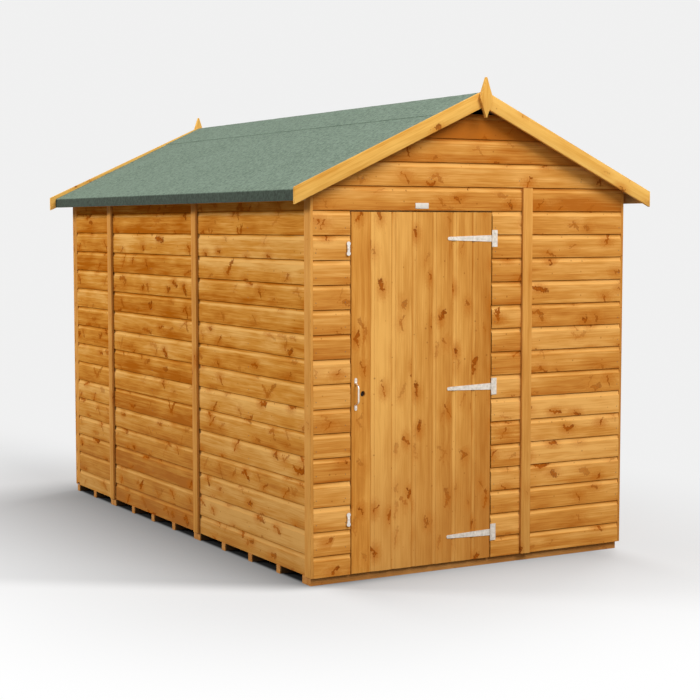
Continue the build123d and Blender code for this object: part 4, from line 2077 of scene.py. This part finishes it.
@dataclass
class Carcass:
    """The nodes that keep their own shape: frame, floor, roof boards, ledges, lock and fittings."""

    finishes: Finishes

    def dress(self, nodes: dict[str, Piece]) -> None:
        """Gives each kept node its finish.

        Args:
            nodes: The frame's nodes by name.
        """
        use = self.finishes
        plan = {
            use.frame_upright: ("front_framing", "left_framing", "right_framing", "door_stops"),
            use.frame_stained: ("rear_framing",),
            use.frame_across: ("front_gable_framing", "rear_gable_framing", "door_ledges"),
            use.frame_along: ("left_roof_rails", "right_roof_rails"),
            use.joist: ("floor_joists",),
            use.strand: ("floor_deck", "left_roof_boards", "right_roof_boards"),
            use.zinc: ("hinge_straps", "hinge_plates", "turn_button_screws"),
            use.polished: ("door_handle", "turn_button_upper", "turn_button_lower"),
            use.lock: ("rim_lock",),
        }
        for finish, names in plan.items():
            for name in names:
                for slot in nodes[name].material_slots:
                    slot.material = finish.material()
                log.info("%s: dressed in %s", name, finish.name)


@dataclass(frozen=True)
class Lamp:
    """A soft square lamp with its place, the point that it lights, its side and its watts."""

    name: str
    at: Place
    aim: Place
    size: float
    power: float

    def hang(self) -> None:
        """Hangs the lamp in the studio."""
        data = bpy.data.lights.new(self.name, "AREA")
        data.shape = "SQUARE"
        data.size = self.size
        data.energy = self.power
        Bench.stand_apart(self.name, data, self.at, Vector(self.aim) - Vector(self.at))


@dataclass
class Studio:
    """Pale floor, plain backdrop, soft lamps and the camera."""

    plan: ShedPlan
    eye: Place = (-4.2644, -7.82571, 1.63446)
    look: Place = (0.49366, 0.866188, -0.077572)
    lens: float = 82.063
    backdrop: float = 0.875
    foreground: float = 1.0
    ambient: float = 0.20
    floor_shade: float = 0.28
    floor_glow: float = 0.475
    under_shade: float = 0.025
    left_depth: float = 0.64
    left_reach: float = 0.78
    front_depth: float = 0.35
    front_reach: float = 0.27
    slant: float = 1.4
    joist_inset: float = 0.022
    floor_size: float = 80
    floor_level: float = -0.0008
    lamps: tuple[Lamp, ...] = (
        Lamp("key", (1.68, -10.31, 9.70), (0, -0.8, 1.0), 7.0, 1520),
        Lamp("side fill", (-15.37, 10.13, 10.39), (-0.9, 0.0, 1.0), 4.5, 3316),
        Lamp("rear fill", (12.0, 8.0, 9.0), (0, 0, 1.0), 5.0, 1400),
        Lamp("front fill", (-8.46, -11.08, 5.79), (0, -1.0, 1.0), 5.0, 310),
    )

    def camera(self) -> None:
        """Sets the camera where the photograph was taken from."""
        data = bpy.data.cameras.new("camera")
        data.lens = self.lens
        data.sensor_width = 36.0
        data.clip_end = 200.0
        made = Bench.stand_apart("camera", data, self.eye, Vector(self.look))
        bpy.context.scene.camera = made

    def seen(self, wire: Wiring) -> Socket:
        """Tells the rays that show the backdrop from those that light the shed.

        Args:
            wire: The wiring of a world or a material.

        Returns:
            One for camera, glossy and transmission rays, otherwise zero.
        """
        path = wire.node("ShaderNodeLightPath").outputs
        both = wire.math("ADD", path["Is Camera Ray"], path["Is Glossy Ray"], clamp=True)
        return wire.math("ADD", both, path["Is Transmission Ray"], clamp=True)

    def world(self) -> None:
        """Gives the backdrop its colour and the room its even light."""
        world = bpy.data.worlds.new("studio")
        world.use_nodes = True
        bpy.context.scene.world = world
        wire = Wiring(world.node_tree)
        light = world.node_tree.nodes["Background"]
        light.inputs["Color"].default_value = (1, 1, 1, 1)
        more = self.backdrop - self.ambient
        level = wire.math("MULTIPLY_ADD", self.seen(wire), more, self.ambient)
        wire.feed(light.inputs["Strength"], level)

    def apart(self, wire: Wiring, x: Socket, y: Socket) -> Socket:
        """Measures how far a place on the floor is from the shed's walls.

        Args:
            wire: The floor's wiring.
            x: The place across the shed.
            y: The place along it.

        Returns:
            The distance, less than zero under the shed.
        """
        halves = self.plan.half_width, self.plan.half_length - self.joist_inset
        across, along = (
            wire.math("SUBTRACT", wire.math("ABSOLUTE", place), half)
            for place, half in zip((x, y), halves)
        )
        outside = wire.distance(
            wire.math("MAXIMUM", across, 0.0), wire.math("MAXIMUM", along, 0.0)
        )
        inside = wire.math("MINIMUM", wire.math("MAXIMUM", across, along), 0.0)
        return wire.math("ADD", outside, inside)

    def shadow(self, wire: Wiring, x: Socket, y: Socket) -> Socket:
        """Works out the soft shadow that the shed throws beside its left wall and before its front.

        Args:
            wire: The floor's wiring.
            x: The place across the shed.
            y: The place along it.

        Returns:
            The share of light that is left, 1 on the open floor.
        """
        wall, end = self.plan.half_width, self.plan.half_length
        left, before = (
            wire.math("MAXIMUM", wire.math("MULTIPLY_ADD", place, -1.0, -half), 0.0)
            for place, half in ((x, wall), (y, end))
        )
        rearward = wire.math("MULTIPLY_ADD", y, self.slant, self.slant * end)
        slant = wire.math("SUBTRACT", rearward, left)
        beside = wire.math("EXPONENT", wire.math("DIVIDE", left, -self.left_reach))
        facing = wire.math("EXPONENT", wire.math("DIVIDE", before, -self.front_reach))

        # Each row gives a place, where the shadow is whole, where it has faded and what is left
        for place, whole, faded, rest in (
            (slant, 0.15, -0.3, 0.0),
            (y, end - 0.3, end + 0.5, 0.22),
            (y, end + 0.5, end + 4.0, 0.0),
            (x, -wall, 0.0, 0.0),
            (y, 0.05 - end, -0.1 - end, 0.0),
        ):
            beside = wire.math("MULTIPLY", beside, wire.between(place, whole, faded, 1.0, rest))
        for place, whole, faded, rest in (
            (y, 0.2 - end, 0.6 - end, 0.0),
            (wire.math("ABSOLUTE", x), wall - 0.2, wall + 0.05, 0.0),
        ):
            facing = wire.math("MULTIPLY", facing, wire.between(place, whole, faded, 1.0, rest))
        kept = wire.math("MULTIPLY_ADD", beside, -self.left_depth, 1.0)
        kept_before = wire.math("MULTIPLY_ADD", facing, -self.front_depth, 1.0)
        return wire.math("MULTIPLY", kept, kept_before)

    def floor(self) -> None:
        """Lays the pale floor, shaded near the shed and as pale as the backdrop far off."""
        Bench.clear()
        bpy.ops.mesh.primitive_plane_add(
            size=self.floor_size, location=(0, 0, self.floor_level)
        )
        floor = Bench.named("studio_floor")
        Bench.settle(floor)
        paper = bpy.data.materials.new("studio paper")
        paper.use_nodes = True
        wire = Wiring(paper.node_tree)
        nodes = paper.node_tree.nodes
        shader = nodes["Principled BSDF"]
        x, y, _ = wire.split(wire.node("ShaderNodeTexCoord").outputs["Object"])
        apart = self.apart(wire, x, y)
        seen = self.seen(wire)
        open_floor = wire.between(apart, -0.02, 0.01, 0.0, 1.0)
        kept = self.shadow(wire, x, y)
        paint = wire.math("MULTIPLY", kept, self.floor_shade)
        wire.feed(shader.inputs["Base Color"], wire.blend(
            open_floor, (self.under_shade,) * 3, wire.vector(paint, paint, paint)
        ))
        shader.inputs["Roughness"].default_value = 1.0
        shader.inputs["Specular IOR Level"].default_value = 0.0
        shader.inputs["Emission Strength"].default_value = 1.0
        veil = wire.math("MULTIPLY", wire.math("MULTIPLY", open_floor, seen), self.floor_glow)
        veil = wire.math("MULTIPLY", veil, kept)
        wire.feed(shader.inputs["Emission Color"], wire.vector(veil, veil, veil))

        # Towards the camera the floor runs out to white, away from it to the backdrop
        depth = wire.math("MULTIPLY", x, self.look[0])
        depth = wire.math("MULTIPLY_ADD", y, self.look[1], depth)
        level = wire.between(depth, -2.6, 0.6, self.foreground, self.backdrop)
        level = wire.math("MULTIPLY", kept, level)
        glow = wire.node("ShaderNodeEmission")
        wire.feed(glow.inputs["Color"], wire.vector(level, level, level))
        far = wire.math("MULTIPLY", wire.between(apart, 0.1, 2.0, 0.0, 1.0), seen)
        mixed = wire.node("ShaderNodeMixShader")
        wire.feed(mixed.inputs[0], far)
        wire.feed(mixed.inputs[1], shader.outputs[0])
        wire.feed(mixed.inputs[2], glow.outputs[0])
        wire.feed(nodes["Material Output"].inputs["Surface"], mixed.outputs[0])
        floor.data.materials.append(paper)

    def build(self) -> None:
        """Sets up the whole studio."""
        self.camera()
        self.world()
        self.floor()
        for lamp in self.lamps:
            lamp.hang()
        bpy.context.scene.view_settings.view_transform = "Standard"


def main() -> None:
    """Builds the sub-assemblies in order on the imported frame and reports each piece."""
    logging.basicConfig(level=logging.INFO, format="%(name)s: %(message)s")
    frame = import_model()
    use = Finishes()
    plan = ShedPlan()
    Studio(plan).build()
    Carcass(use).dress(frame["nodes"])
    BoardedWalls(use.cladding, use.side_cladding, plan, CovedBoard()).build()
    Door(use.door, use.lock_board, plan, CovedBoard(pitch=0.1113, cove_depth=0.0045)).build()
    CoverStrips(use.strip, plan).build()
    GableTrim(use.barge, plan).build()
    FeltRoof(use.felt, plan).build()
    Ironmongery(use.zinc, use.nail, use.plate, plan).build()


if __name__ == "__main__":
    main()
